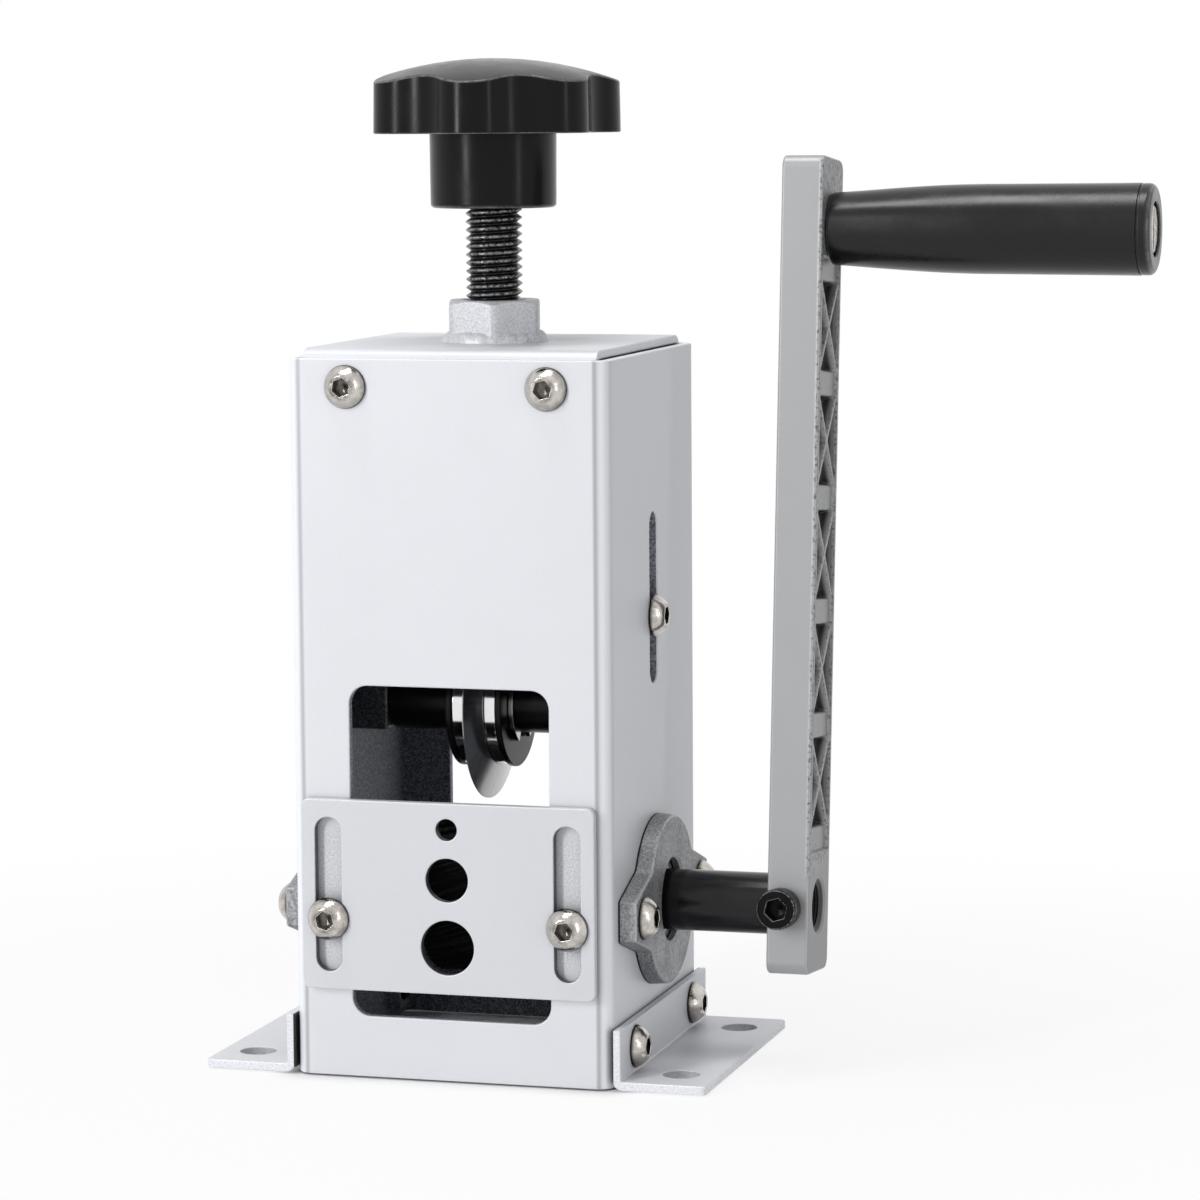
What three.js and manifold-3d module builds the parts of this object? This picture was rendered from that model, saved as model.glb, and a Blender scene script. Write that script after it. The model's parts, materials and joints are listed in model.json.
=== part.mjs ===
import * as THREE from 'three';
import { mergeVertices } from 'three/addons/utils/BufferGeometryUtils.js';
import Module from 'manifold-3d';

// Bench wire stripper turned by a hand crank.
// Millimetres. X runs from the closed side to the crank, Y to the back, Z up.
// Everything is placed from the middle of the tube's foot, and the finished
// group is moved so that the origin lies under the middle of its outer box.

const wasm = await Module();
wasm.setup();

// Play and cutters
const FIT_GAP = 0.1;
const RUN_GAP = 0.3;
const CUT_OVERRUN = 1;

// Sides of a round piece
const BIG_SIDES = 28;
const MID_SIDES = 18;
const SMALL_SIDES = 10;
const CORNER_STEPS = 4;
const EDGE_STEPS = 2;

// Square tube of the housing
const TUBE_WIDTH = 80;
const TUBE_DEPTH = 80;
const TUBE_HEIGHT = 174;
const TUBE_WALL = 2.5;
const TUBE_CORNER = 4;
const WINDOW_WIDTH = 50;
const WINDOW_HEIGHT = 80.5;
const WINDOW_BOTTOM = 15;
const WINDOW_CORNER = 4.5;
const SIDE_SLOT_WIDTH = 7;
const SIDE_SLOT_LENGTH = 42;
const SIDE_SLOT_BELOW = 16.6;

// Six millimetre button head screws and their thin weld nuts
const SCREW_RADIUS = 3;
const BUTTON_RADIUS = 5.25;
const BUTTON_FLAT_RADIUS = 3.2;
const BUTTON_HEIGHT = 3.3;
const BUTTON_SOCKET_FLATS = 4;
const BUTTON_SOCKET_DEPTH = 2;
const NUT_FLATS = 10;
const NUT_HEIGHT = 3.2;
const SCREW_TAIL = 0.8;

// Folded lid and the welded nut on it
const LID_SIDE_GAP = 0.8;
const LID_PLATE = 2.2;
const LID_FLANGE = 17;
const LID_BEND = 3.4;
const LID_HOLE_RADIUS = 8;
const LID_SCREW_SPACING = 50;
const LID_SCREW_DROP = 6.8;
const TOP_NUT_FLATS = 22;
const TOP_NUT_HEIGHT = 10.2;
const TOP_NUT_CHAMFER = 1.2;
const TOP_NUT_TURN = THREE.MathUtils.degToRad(16);
const WELD_RADIUS = 13.2;
const WELD_HEIGHT = 2.6;

// Angle feet
const FOOT_REACH = 23.2;
const FOOT_PLATE = 2.2;
const FOOT_RISE = 14.5;
const FOOT_BEND = 2.7;
const FOOT_CORNER = 1.2;
const FOOT_HOLE_RADIUS = 4.5;
const FOOT_HOLE_OUT = 14;
const FOOT_HOLE_SPACING = 56;
const FOOT_SCREW_SPACING = 53;
const FOOT_SCREW_CLEAR = 0.25;

// Two-bolt bearing flanges and sealed ball bearings
const FLANGE_OVER_FOOT = 4;
const FLANGE_RADIUS = 21;
const FLANGE_LENGTH = 67;
const FLANGE_TIP = 11;
const FLANGE_ROOT = 20;
const FLANGE_TIP_CORNER = 1.5;
const FLANGE_PLATE = 4.5;
const FLANGE_EDGE = 1;
const FLANGE_BORE_RADIUS = 10.25;
const FLANGE_SEAT_DEPTH = 2.5;
const FLANGE_SCREW_SPACING = 53;
const BEARING_RADIUS = 16;
const BEARING_WIDTH = 9;
const BEARING_RACE_RADIUS = 10;

// Drive shaft, feed roller, key and spacers
const SHAFT_RADIUS = 7.5;
const SHAFT_INSET = 0.6;
const ROLLER_RADIUS = 20;
const ROLLER_WIDTH = 30;
const ROLLER_TEETH = 40;
const ROLLER_TOOTH = 0.9;
const SPACER_WALL = 2.2;
const KEY_SIDE = 5;
const KEY_LENGTH = 24;
const KEY_SINK = 3;

// Crank arm
const ARM_OUT = 30.9;
const ARM_PLATE = 10.3;
const ARM_WIDTH = 21.7;
const ARM_THROW = 164.5;
const ARM_HEAD = 17.2;
const ARM_TAIL = 16.2;
const ARM_CORNER = 3;
const ARM_LEAN = THREE.MathUtils.degToRad(5.4);
const ARM_SEAT_DEPTH = 6.3;
const ARM_END_HOLE_RADIUS = 6;
const ARM_END_CHAMFER = 1;
const CHANNEL_START = 13.2;
const CHANNEL_RIM = 1.8;
const CHANNEL_DEPTH = 3;
const CHANNEL_END_GAP = 6.8;
const CELL_COUNT = 5;
const PAD_LENGTH = 6;
const PAD_DROP = 0.9;
const RIB_WIDTH = 1.4;
const RIB_DROP = 0.3;
const CLAMP_HEAD_RADIUS = 5;
const CLAMP_HEAD_HEIGHT = 6;
const CLAMP_SOCKET_FLATS = 5;
const CLAMP_SOCKET_DEPTH = 3.2;
const CLAMP_IN = 3.6;

// Turning grip and its bolt
const GRIP_LENGTH = 78.6;
const GRIP_ROOT_RADIUS = 8.8;
const GRIP_BELLY_RADIUS = 10.8;
const GRIP_END_RADIUS = 11.05;
const GRIP_EDGE = 1.6;
const GRIP_BOLT_RADIUS = 4;
const GRIP_HEAD_RADIUS = 6;
const GRIP_HEAD_HEIGHT = 3.5;
const GRIP_POCKET_RADIUS = 6.6;
const GRIP_POCKET_DEPTH = 4.3;
const GRIP_SLOT_WIDTH = 1.6;
const GRIP_SLOT_DEPTH = 1.4;
const GRIP_STEPS = 7;

// Guide plate on the front
const GUIDE_MARGIN = 6.8;
const GUIDE_HEIGHT = 46.4;
const GUIDE_BOTTOM = 21.7;
const GUIDE_PLATE = 2.5;
const GUIDE_CORNER = 2;
const GUIDE_SLOT_OUT = 5;
const GUIDE_SLOT_WIDTH = 6.5;
const GUIDE_SLOT_LENGTH = 37.5;
const GUIDE_SCREW_HEIGHT = 38.9;
const GUIDE_HOLES = [
  { radius: 2.6, up: 40 },
  { radius: 5.25, up: 27.8 },
  { radius: 6.6, up: 11.4 },
];

// Blade carrier that slides in the tube
const CARRIER_SOLE = 7;
const CARRIER_HEADROOM = 7.3;
const CARRIER_DEPTH = 16;
const CARRIER_ARM = 10.6;
const CARRIER_PLAY = 0.6;
const CARRIER_ROOF = 13.5;
const CARRIER_CORNER = 2;
const CARRIER_SCREW_UP = 22.4;
const CARRIER_SCREW_LENGTH = 10;

// Blade, its axle and what holds it there
const STRIP_GAP = 3.7;
const AXLE_RADIUS = 7.5;
const AXLE_END_RADIUS = 5;
const BLADE_OFFSET = -1.6;
const BLADE_RADIUS = 24;
const BLADE_THICK = 5.2;
const BLADE_LAND_RADIUS = 15.6;
const BLADE_EDGE = 0.3;
const BUSH_WALL = 2.4;
const RING_RADIUS = 15.6;
const RING_WIDTH = 3;
const WASHER_RADIUS = 16;
const WASHER_THICK = 1.4;
const CLIP_RADIUS = 10.2;
const CLIP_THICK = 1.2;
const CLIP_GROOVE = 0.7;
const CLIP_MOUTH = THREE.MathUtils.degToRad(50);
const AXLE_GRUB_RADIUS = 2;

// Adjusting screw, its retainer and the star knob
const ADJUST_RADIUS = 6.9;
const NECK_RADIUS = 5;
const RETAINER_WASHER_RADIUS = 7.2;
const RETAINER_WASHER_THICK = 1;
const RETAINER_CLIP_RADIUS = 6.6;
const RETAINER_CLIP_THICK = 1;
const NECK_TAIL = 1;
const THREAD_SHOWN = 22.4;
const HUB_RADIUS = 15.5;
const HUB_HEIGHT = 18.1;
const HUB_CHAMFER = 1.2;
const KNOB_BORE_DEPTH = 20;
const KNOB_LOBES = 7;
const KNOB_RADIUS = 31.2;
const KNOB_WAIST_RADIUS = 26.8;
const KNOB_LOBE_RADIUS = 9.3;
const KNOB_RIM_HEIGHT = 12.4;
const KNOB_CROWN = 5.7;
const KNOB_EDGE = 1.6;
const KNOB_TURN = THREE.MathUtils.degToRad(-136);
const CROWN_STEPS = 3;

// Sizes that follow from the ones above
const HALF_TUBE = TUBE_WIDTH / 2;
const HALF_DEPTH = TUBE_DEPTH / 2;
const INNER_HALF = HALF_TUBE - TUBE_WALL;
const INNER_DEPTH = HALF_DEPTH - TUBE_WALL;
const LID_TOP = TUBE_HEIGHT + LID_PLATE;
const LID_WIDTH = 2 * (INNER_HALF - LID_SIDE_GAP);
const LID_HALF_DEPTH = INNER_DEPTH - FIT_GAP;
const LID_SCREW_HEIGHT = TUBE_HEIGHT - LID_SCREW_DROP;
const FOOT_SCREW_HEIGHT = FOOT_BEND + BUTTON_RADIUS + FOOT_SCREW_CLEAR;
const SHAFT_HEIGHT = FOOT_RISE + FLANGE_OVER_FOOT + FLANGE_RADIUS;
const ARM_INNER = HALF_TUBE + ARM_OUT;
const ARM_OUTER = ARM_INNER + ARM_PLATE;
const CHANNEL_LENGTH = ARM_THROW - CHANNEL_END_GAP - CHANNEL_START;
const CELL_PITCH = (CHANNEL_LENGTH - PAD_LENGTH) / CELL_COUNT;
const GRIP_START = ARM_OUTER + RUN_GAP;
const GRIP_END = GRIP_START + GRIP_LENGTH;
const GUIDE_SLOT_SPACING = WINDOW_WIDTH + 2 * GUIDE_SLOT_OUT;
const GUIDE_WIDTH = GUIDE_SLOT_SPACING + 2 * GUIDE_MARGIN;
const GUIDE_BACK = -HALF_DEPTH - FIT_GAP;
const GUIDE_FRONT = GUIDE_BACK - GUIDE_PLATE;
const CARRIER_OUTER = INNER_HALF - CARRIER_PLAY;
const CARRIER_INNER = CARRIER_OUTER - CARRIER_ARM;
const AXLE_HEIGHT = SHAFT_HEIGHT + ROLLER_RADIUS + STRIP_GAP + BLADE_RADIUS;
const CARRIER_BOTTOM = AXLE_HEIGHT - CARRIER_SOLE;
const CARRIER_ROOF_BOTTOM = AXLE_HEIGHT + BLADE_RADIUS + CARRIER_HEADROOM;
const CARRIER_TOP = CARRIER_ROOF_BOTTOM + CARRIER_ROOF;
const CARRIER_SCREW_HEIGHT = AXLE_HEIGHT + CARRIER_SCREW_UP;
const SIDE_SLOT_BOTTOM = CARRIER_SCREW_HEIGHT - SIDE_SLOT_BELOW;
const CARRIER_SCREW_SEAT = HALF_TUBE + FIT_GAP;
const BUSH_RADIUS = AXLE_RADIUS + FIT_GAP + BUSH_WALL;
const STACK_HALF = BLADE_THICK / 2 + RING_WIDTH;
const WASHER_INNER = STACK_HALF + FIT_GAP;
const CLIP_INNER = WASHER_INNER + WASHER_THICK + FIT_GAP;
const KNOB_BOTTOM = LID_TOP + TOP_NUT_HEIGHT + THREAD_SHOWN;
const KNOB_RIM_BOTTOM = KNOB_BOTTOM + HUB_HEIGHT;
const FRONT_REACH = -GUIDE_FRONT + BUTTON_HEIGHT;
const BACK_REACH = HALF_DEPTH + BUTTON_HEIGHT;

// Solids: three.js shapes in, joined or cut solids out

function toSolid(geometry) {
  const bare = new THREE.BufferGeometry();
  bare.setAttribute('position', geometry.getAttribute('position').clone());
  if (geometry.index) bare.setIndex(geometry.index.clone());
  const merged = mergeVertices(bare);
  const place = merged.getAttribute('position').array;
  const kept = [];
  let volume = 0;
  const corner = [new THREE.Vector3(), new THREE.Vector3(), new THREE.Vector3()];
  for (let i = 0; i < merged.index.count; i += 3) {
    const ids = [0, 1, 2].map((k) => merged.index.getX(i + k));
    if (new Set(ids).size < ids.length) continue;
    kept.push(...ids);
    ids.forEach((id, k) => corner[k].fromArray(place, 3 * id));
    volume += corner[0].dot(corner[1].cross(corner[2]));
  }
  if (volume < 0) kept.reverse();
  return new wasm.Manifold(new wasm.Mesh({
    numProp: 3,
    vertProperties: new Float32Array(place),
    triVerts: new Uint32Array(kept),
  }));
}

function toGeometry(solid) {
  const mesh = solid.getMesh();
  const geometry = new THREE.BufferGeometry();
  const place = new Float32Array(mesh.numVert * 3);
  for (let i = 0; i < mesh.numVert; i += 1) {
    for (let k = 0; k < 3; k += 1) place[3 * i + k] = mesh.vertProperties[mesh.numProp * i + k];
  }
  geometry.setAttribute('position', new THREE.BufferAttribute(place, 3));
  geometry.setIndex(Array.from(mesh.triVerts));
  return geometry;
}

function join(...solids) {
  return solids.reduce((whole, next) => whole.add(next));
}

function cut(body, ...cutters) {
  return cutters.reduce((rest, next) => rest.subtract(next), body);
}

// A box from its low corner to its high corner.
function block(low, high) {
  const size = high.map((value, i) => value - low[i]);
  const middle = high.map((value, i) => (value + low[i]) / 2);
  return toSolid(new THREE.BoxGeometry(...size).translate(...middle));
}

// Turns a shape made along Z so that it lies along X or Y. The outline's own
// two directions become Y and Z for a shape along X, and X and Z for one along Y.
function along(geometry, axis) {
  const x = new THREE.Vector3(1, 0, 0);
  const y = new THREE.Vector3(0, 1, 0);
  const z = new THREE.Vector3(0, 0, 1);
  const turn = new THREE.Matrix4();
  if (axis === 'x') turn.makeBasis(y, z, x);
  if (axis === 'y') turn.makeBasis(x, z, y.negate());
  return geometry.applyMatrix4(turn);
}

// An outline carried along an axis from low to high.
function slab(outline, axis, low, high, steps = CORNER_STEPS) {
  const geometry = new THREE.ExtrudeGeometry(outline, {
    depth: high - low, bevelEnabled: false, curveSegments: steps,
  });
  const move = { x: [low, 0, 0], y: [0, high, 0], z: [0, 0, low] }[axis];
  return toSolid(along(geometry, axis).translate(...move));
}

// A profile of [radius, place along the axis] pairs turned about an axis.
function turned(profile, axis, centre = [0, 0, 0], sides = MID_SIDES) {
  const points = profile.map(([radius, place]) => new THREE.Vector2(radius, place));
  const geometry = new THREE.LatheGeometry(points, sides);
  if (axis === 'z') geometry.rotateX(Math.PI / 2);
  if (axis === 'x') geometry.rotateZ(-Math.PI / 2);
  return toSolid(geometry.translate(...centre));
}

function rod(radius, axis, low, high, centre, sides) {
  return turned([[0, low], [radius, low], [radius, high], [0, high]], axis, centre, sides);
}

// A round hole's cutter: its flats, not its corners, lie at the radius.
function drill(radius, axis, low, high, centre, sides = MID_SIDES) {
  return rod(radius / Math.cos(Math.PI / sides), axis, low, high, centre, sides);
}

function tubeRing(inner, outer, axis, low, high, centre, sides = MID_SIDES) {
  const bore = inner / Math.cos(Math.PI / sides);
  const profile = [[bore, low], [outer, low], [outer, high], [bore, high], [bore, low]];
  return turned(profile, axis, centre, sides);
}

// Outlines

function roundedBox(width, height, radius, u = 0, v = 0) {
  const outline = new THREE.Shape();
  const right = u + width / 2;
  const left = u - width / 2;
  const top = v + height / 2;
  const bottom = v - height / 2;
  outline.moveTo(left + radius, bottom);
  outline.lineTo(right - radius, bottom);
  outline.absarc(right - radius, bottom + radius, radius, -Math.PI / 2, 0);
  outline.lineTo(right, top - radius);
  outline.absarc(right - radius, top - radius, radius, 0, Math.PI / 2);
  outline.lineTo(left + radius, top);
  outline.absarc(left + radius, top - radius, radius, Math.PI / 2, Math.PI);
  outline.lineTo(left, bottom + radius);
  outline.absarc(left + radius, bottom + radius, radius, Math.PI, 1.5 * Math.PI);
  return outline;
}

function regular(sides, acrossFlats, turn = 0) {
  const corner = acrossFlats / 2 / Math.cos(Math.PI / sides);
  const points = Array.from({ length: sides }, (_, i) => {
    const angle = turn + (2 * Math.PI * i) / sides;
    return new THREE.Vector2(corner * Math.cos(angle), corner * Math.sin(angle));
  });
  return new THREE.Shape(points);
}

// Puts a shape whose own axis is Z, seat at zero, on a seat that faces a direction.
function seated(solidAlongZ, seat, facing) {
  const geometry = toGeometry(solidAlongZ);
  const turn = new THREE.Quaternion().setFromUnitVectors(
    new THREE.Vector3(0, 0, 1), new THREE.Vector3(...facing),
  );
  return toSolid(geometry.applyQuaternion(turn).translate(...seat));
}

// Fasteners

function buttonScrew(length) {
  const profile = [
    [0, -length], [SCREW_RADIUS, -length], [SCREW_RADIUS, 0], [BUTTON_RADIUS, 0],
    [BUTTON_RADIUS, BUTTON_HEIGHT / 3], [BUTTON_FLAT_RADIUS, BUTTON_HEIGHT], [0, BUTTON_HEIGHT],
  ];
  const socket = slab(
    regular(6, BUTTON_SOCKET_FLATS), 'z', BUTTON_HEIGHT - BUTTON_SOCKET_DEPTH, BUTTON_HEIGHT + CUT_OVERRUN,
  );
  return cut(turned(profile, 'z', [0, 0, 0], SMALL_SIDES), socket);
}

function weldNut() {
  return slab(regular(6, NUT_FLATS), 'z', -NUT_HEIGHT, 0);
}

// Nuts welded behind the plates that the screws on these seats clamp.
function weldNuts(seats, grip) {
  return seats.map(({ at, facing }) => {
    const back = at.map((value, i) => value - facing[i] * grip);
    return seated(weldNut(), back, facing);
  });
}

function screwHoles(seats, grip) {
  const depth = grip + NUT_HEIGHT + CUT_OVERRUN;
  return seats.map(({ at, facing }) => seated(
    drill(SCREW_RADIUS + FIT_GAP, 'z', -depth, CUT_OVERRUN, [0, 0, 0], SMALL_SIDES), at, facing,
  ));
}

// Seats of the screws, each with the point under its head and the way it faces
const SIDES = [{ name: 'left', side: -1 }, { name: 'right', side: 1 }];
const ENDS = [{ name: 'front', end: -1 }, { name: 'back', end: 1 }];
const CORNERS = SIDES.flatMap(({ name, side }) => ENDS.map((one) => ({
  name: `${name}_${one.name}`, side, end: one.end,
})));
const lidSeats = CORNERS.map(({ name, side, end }) => ({
  name, at: [(side * LID_SCREW_SPACING) / 2, end * HALF_DEPTH, LID_SCREW_HEIGHT], facing: [0, end, 0],
}));
const footSeats = CORNERS.map(({ name, side, end }) => ({
  name,
  at: [side * (HALF_TUBE + FOOT_PLATE), (end * FOOT_SCREW_SPACING) / 2, FOOT_SCREW_HEIGHT],
  facing: [side, 0, 0],
}));
const flangeSeats = CORNERS.map(({ name, side, end }) => ({
  name,
  at: [side * (HALF_TUBE + FLANGE_PLATE), (end * FLANGE_SCREW_SPACING) / 2, SHAFT_HEIGHT],
  facing: [side, 0, 0],
}));
const guideSeats = SIDES.map(({ name, side }) => ({
  name, at: [(side * GUIDE_SLOT_SPACING) / 2, GUIDE_FRONT, GUIDE_SCREW_HEIGHT], facing: [0, -1, 0],
}));
const carrierSeats = SIDES.map(({ name, side }) => ({
  name, at: [side * CARRIER_SCREW_SEAT, 0, CARRIER_SCREW_HEIGHT], facing: [side, 0, 0],
}));
const lidGrip = TUBE_WALL + FIT_GAP + LID_PLATE;
const footGrip = FOOT_PLATE + TUBE_WALL;
const flangeGrip = FLANGE_PLATE + TUBE_WALL;
const guideGrip = GUIDE_PLATE + FIT_GAP + TUBE_WALL;

// Housing

function housingTube() {
  const outer = slab(roundedBox(TUBE_WIDTH, TUBE_DEPTH, TUBE_CORNER), 'z', 0, TUBE_HEIGHT);
  const inside = roundedBox(2 * INNER_HALF, 2 * INNER_DEPTH, TUBE_CORNER - TUBE_WALL);
  const hollow = slab(inside, 'z', -CUT_OVERRUN, TUBE_HEIGHT + CUT_OVERRUN, EDGE_STEPS);
  const windowMiddle = WINDOW_BOTTOM + WINDOW_HEIGHT / 2;
  const pane = roundedBox(WINDOW_WIDTH, WINDOW_HEIGHT, WINDOW_CORNER, 0, windowMiddle);
  const windows = slab(pane, 'y', -HALF_DEPTH - CUT_OVERRUN, HALF_DEPTH + CUT_OVERRUN);
  const slotMiddle = SIDE_SLOT_BOTTOM + SIDE_SLOT_LENGTH / 2;
  const slot = roundedBox(SIDE_SLOT_WIDTH, SIDE_SLOT_LENGTH, SIDE_SLOT_WIDTH / 2, 0, slotMiddle);
  const sideSlots = slab(slot, 'x', -HALF_TUBE - CUT_OVERRUN, HALF_TUBE + CUT_OVERRUN);
  const shaftHoles = drill(
    BEARING_RADIUS + FIT_GAP, 'x', -HALF_TUBE - CUT_OVERRUN, HALF_TUBE + CUT_OVERRUN, [0, 0, SHAFT_HEIGHT],
  );
  const walls = cut(outer, hollow, windows, sideSlots, shaftHoles);
  const nuts = [
    ...weldNuts(footSeats, footGrip), ...weldNuts(flangeSeats, flangeGrip), ...weldNuts(guideSeats, guideGrip),
  ];
  return cut(
    join(walls, ...nuts),
    ...screwHoles(lidSeats, lidGrip), ...screwHoles(footSeats, footGrip),
    ...screwHoles(flangeSeats, flangeGrip), ...screwHoles(guideSeats, guideGrip),
  );
}

// The lid is one strip folded down at the front and the back.
function lid() {
  const half = LID_HALF_DEPTH;
  const low = TUBE_HEIGHT - LID_FLANGE;
  const inner = LID_BEND - LID_PLATE;
  const fold = new THREE.Shape();
  fold.moveTo(-half, low);
  fold.lineTo(-half + LID_PLATE, low);
  fold.lineTo(-half + LID_PLATE, TUBE_HEIGHT - inner);
  fold.absarc(-half + LID_BEND, LID_TOP - LID_BEND, inner, Math.PI, Math.PI / 2, true);
  fold.lineTo(half - LID_BEND, TUBE_HEIGHT);
  fold.absarc(half - LID_BEND, LID_TOP - LID_BEND, inner, Math.PI / 2, 0, true);
  fold.lineTo(half - LID_PLATE, low);
  fold.lineTo(half, low);
  fold.lineTo(half, LID_TOP - LID_BEND);
  fold.absarc(half - LID_BEND, LID_TOP - LID_BEND, LID_BEND, 0, Math.PI / 2);
  fold.lineTo(-half + LID_BEND, LID_TOP);
  fold.absarc(-half + LID_BEND, LID_TOP - LID_BEND, LID_BEND, Math.PI / 2, Math.PI);
  const plan = roundedBox(LID_WIDTH, 2 * half, TUBE_CORNER - TUBE_WALL);
  const sheet = slab(fold, 'x', -LID_WIDTH / 2, LID_WIDTH / 2)
    .intersect(slab(plan, 'z', low - CUT_OVERRUN, LID_TOP + CUT_OVERRUN, EDGE_STEPS));
  const hole = drill(LID_HOLE_RADIUS, 'z', TUBE_HEIGHT - CUT_OVERRUN, LID_TOP + CUT_OVERRUN);
  return cut(join(sheet, ...weldNuts(lidSeats, lidGrip)), hole, ...screwHoles(lidSeats, lidGrip));
}

function topNut() {
  const top = LID_TOP + TOP_NUT_HEIGHT;
  const corner = TOP_NUT_FLATS / 2 / Math.cos(Math.PI / 6);
  const prism = slab(regular(6, TOP_NUT_FLATS, TOP_NUT_TURN - Math.PI / 2), 'z', LID_TOP, top);
  const crown = turned([
    [0, LID_TOP], [corner, LID_TOP], [corner, top - TOP_NUT_CHAMFER], [corner - 2 * TOP_NUT_CHAMFER, top], [0, top],
  ], 'z', [0, 0, 0], BIG_SIDES);
  const waist = TOP_NUT_FLATS / 2 - FIT_GAP;
  const bead = turned([
    [0, LID_TOP], [WELD_RADIUS, LID_TOP], [(WELD_RADIUS + waist) / 2, LID_TOP + WELD_HEIGHT / 3],
    [waist, LID_TOP + WELD_HEIGHT], [0, LID_TOP + WELD_HEIGHT],
  ], 'z', [0, 0, 0], MID_SIDES);
  const bore = drill(ADJUST_RADIUS + RUN_GAP, 'z', LID_TOP - CUT_OVERRUN, top + CUT_OVERRUN);
  return cut(join(prism.intersect(crown), bead), bore);
}

function foot(side) {
  const outer = HALF_TUBE + FOOT_REACH;
  const inner = FOOT_BEND - FOOT_PLATE;
  const angle = new THREE.Shape();
  angle.moveTo(HALF_TUBE, FOOT_RISE);
  angle.lineTo(HALF_TUBE, FOOT_BEND);
  angle.absarc(HALF_TUBE + FOOT_BEND, FOOT_BEND, FOOT_BEND, Math.PI, 1.5 * Math.PI);
  angle.lineTo(outer, 0);
  angle.lineTo(outer, FOOT_PLATE);
  angle.lineTo(HALF_TUBE + FOOT_BEND, FOOT_PLATE);
  angle.absarc(HALF_TUBE + FOOT_BEND, FOOT_BEND, inner, 1.5 * Math.PI, Math.PI, true);
  angle.lineTo(HALF_TUBE + FOOT_PLATE, FOOT_RISE);
  const strip = slab(angle, 'y', -HALF_DEPTH, HALF_DEPTH, CORNER_STEPS);
  const plan = roundedBox(2 * outer, TUBE_DEPTH, FOOT_CORNER);
  const rounded = strip.intersect(slab(plan, 'z', -CUT_OVERRUN, FOOT_RISE + CUT_OVERRUN));
  const holes = [-1, 1].map((end) => drill(
    FOOT_HOLE_RADIUS, 'z', -CUT_OVERRUN, FOOT_PLATE + CUT_OVERRUN,
    [HALF_TUBE + FOOT_HOLE_OUT, (end * FOOT_HOLE_SPACING) / 2, 0],
  ));
  const right = cut(rounded, ...holes, ...screwHoles(footSeats.slice(2), footGrip));
  return side > 0 ? right : mirrored(right);
}

// The same piece on the other side of the tube, its faces still pointing out.
function mirrored(solid) {
  const geometry = toGeometry(solid).scale(-1, 1, 1);
  return toSolid(geometry);
}

// A flange seen along X: a disc with two tapering ears.
function flangeOutline() {
  const tipOut = FLANGE_LENGTH / 2;
  const tipUp = FLANGE_TIP / 2;
  const corner = FLANGE_TIP_CORNER;
  const root = Math.asin(FLANGE_ROOT / 2 / FLANGE_RADIUS);
  const outline = new THREE.Shape();
  outline.absarc(0, 0, FLANGE_RADIUS, root, Math.PI - root, false);
  outline.lineTo(corner - tipOut, tipUp);
  outline.quadraticCurveTo(-tipOut, tipUp, -tipOut, tipUp - corner);
  outline.lineTo(-tipOut, corner - tipUp);
  outline.quadraticCurveTo(-tipOut, -tipUp, corner - tipOut, -tipUp);
  outline.absarc(0, 0, FLANGE_RADIUS, Math.PI + root, 2 * Math.PI - root, false);
  outline.lineTo(tipOut - corner, -tipUp);
  outline.quadraticCurveTo(tipOut, -tipUp, tipOut, corner - tipUp);
  outline.lineTo(tipOut, tipUp - corner);
  outline.quadraticCurveTo(tipOut, tipUp, tipOut - corner, tipUp);
  return outline;
}

// The outline carried along X from zero, its outer edge bevelled.
function bevelledPlate(outline, thick, edge) {
  const geometry = new THREE.ExtrudeGeometry(outline, {
    depth: thick,
    bevelThickness: edge,
    bevelSize: edge,
    bevelOffset: -edge,
    bevelSegments: 1,
    curveSegments: CORNER_STEPS + EDGE_STEPS,
  });
  const whole = toSolid(along(geometry.translate(0, 0, -edge), 'x'));
  const reach = FLANGE_LENGTH;
  return whole.intersect(block([0, -reach, -reach], [thick, reach, reach]));
}

function bearingFlange(side) {
  const plate = bevelledPlate(flangeOutline(), FLANGE_PLATE, FLANGE_EDGE);
  const seat = drill(BEARING_RADIUS + FIT_GAP, 'x', -CUT_OVERRUN, FLANGE_SEAT_DEPTH);
  const bore = drill(FLANGE_BORE_RADIUS, 'x', 0, FLANGE_PLATE + CUT_OVERRUN);
  const moved = toSolid(toGeometry(cut(plate, seat, bore)).translate(HALF_TUBE, 0, SHAFT_HEIGHT));
  const right = cut(moved, ...screwHoles(flangeSeats.slice(2), flangeGrip));
  return side > 0 ? right : mirrored(right);
}

const bearingOut = HALF_TUBE + FLANGE_SEAT_DEPTH - FIT_GAP;
const bearingIn = bearingOut - BEARING_WIDTH;
const shaftCentre = [0, 0, SHAFT_HEIGHT];

function bearingOuter(side) {
  const right = tubeRing(
    BEARING_RACE_RADIUS + RUN_GAP, BEARING_RADIUS, 'x', bearingIn, bearingOut, shaftCentre,
  );
  return side > 0 ? right : mirrored(right);
}

function bearingInner(side) {
  const right = tubeRing(
    SHAFT_RADIUS + FIT_GAP, BEARING_RACE_RADIUS, 'x', bearingIn, bearingOut, [0, 0, 0],
  );
  return side > 0 ? right : mirrored(right);
}

// Guide plate

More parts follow.
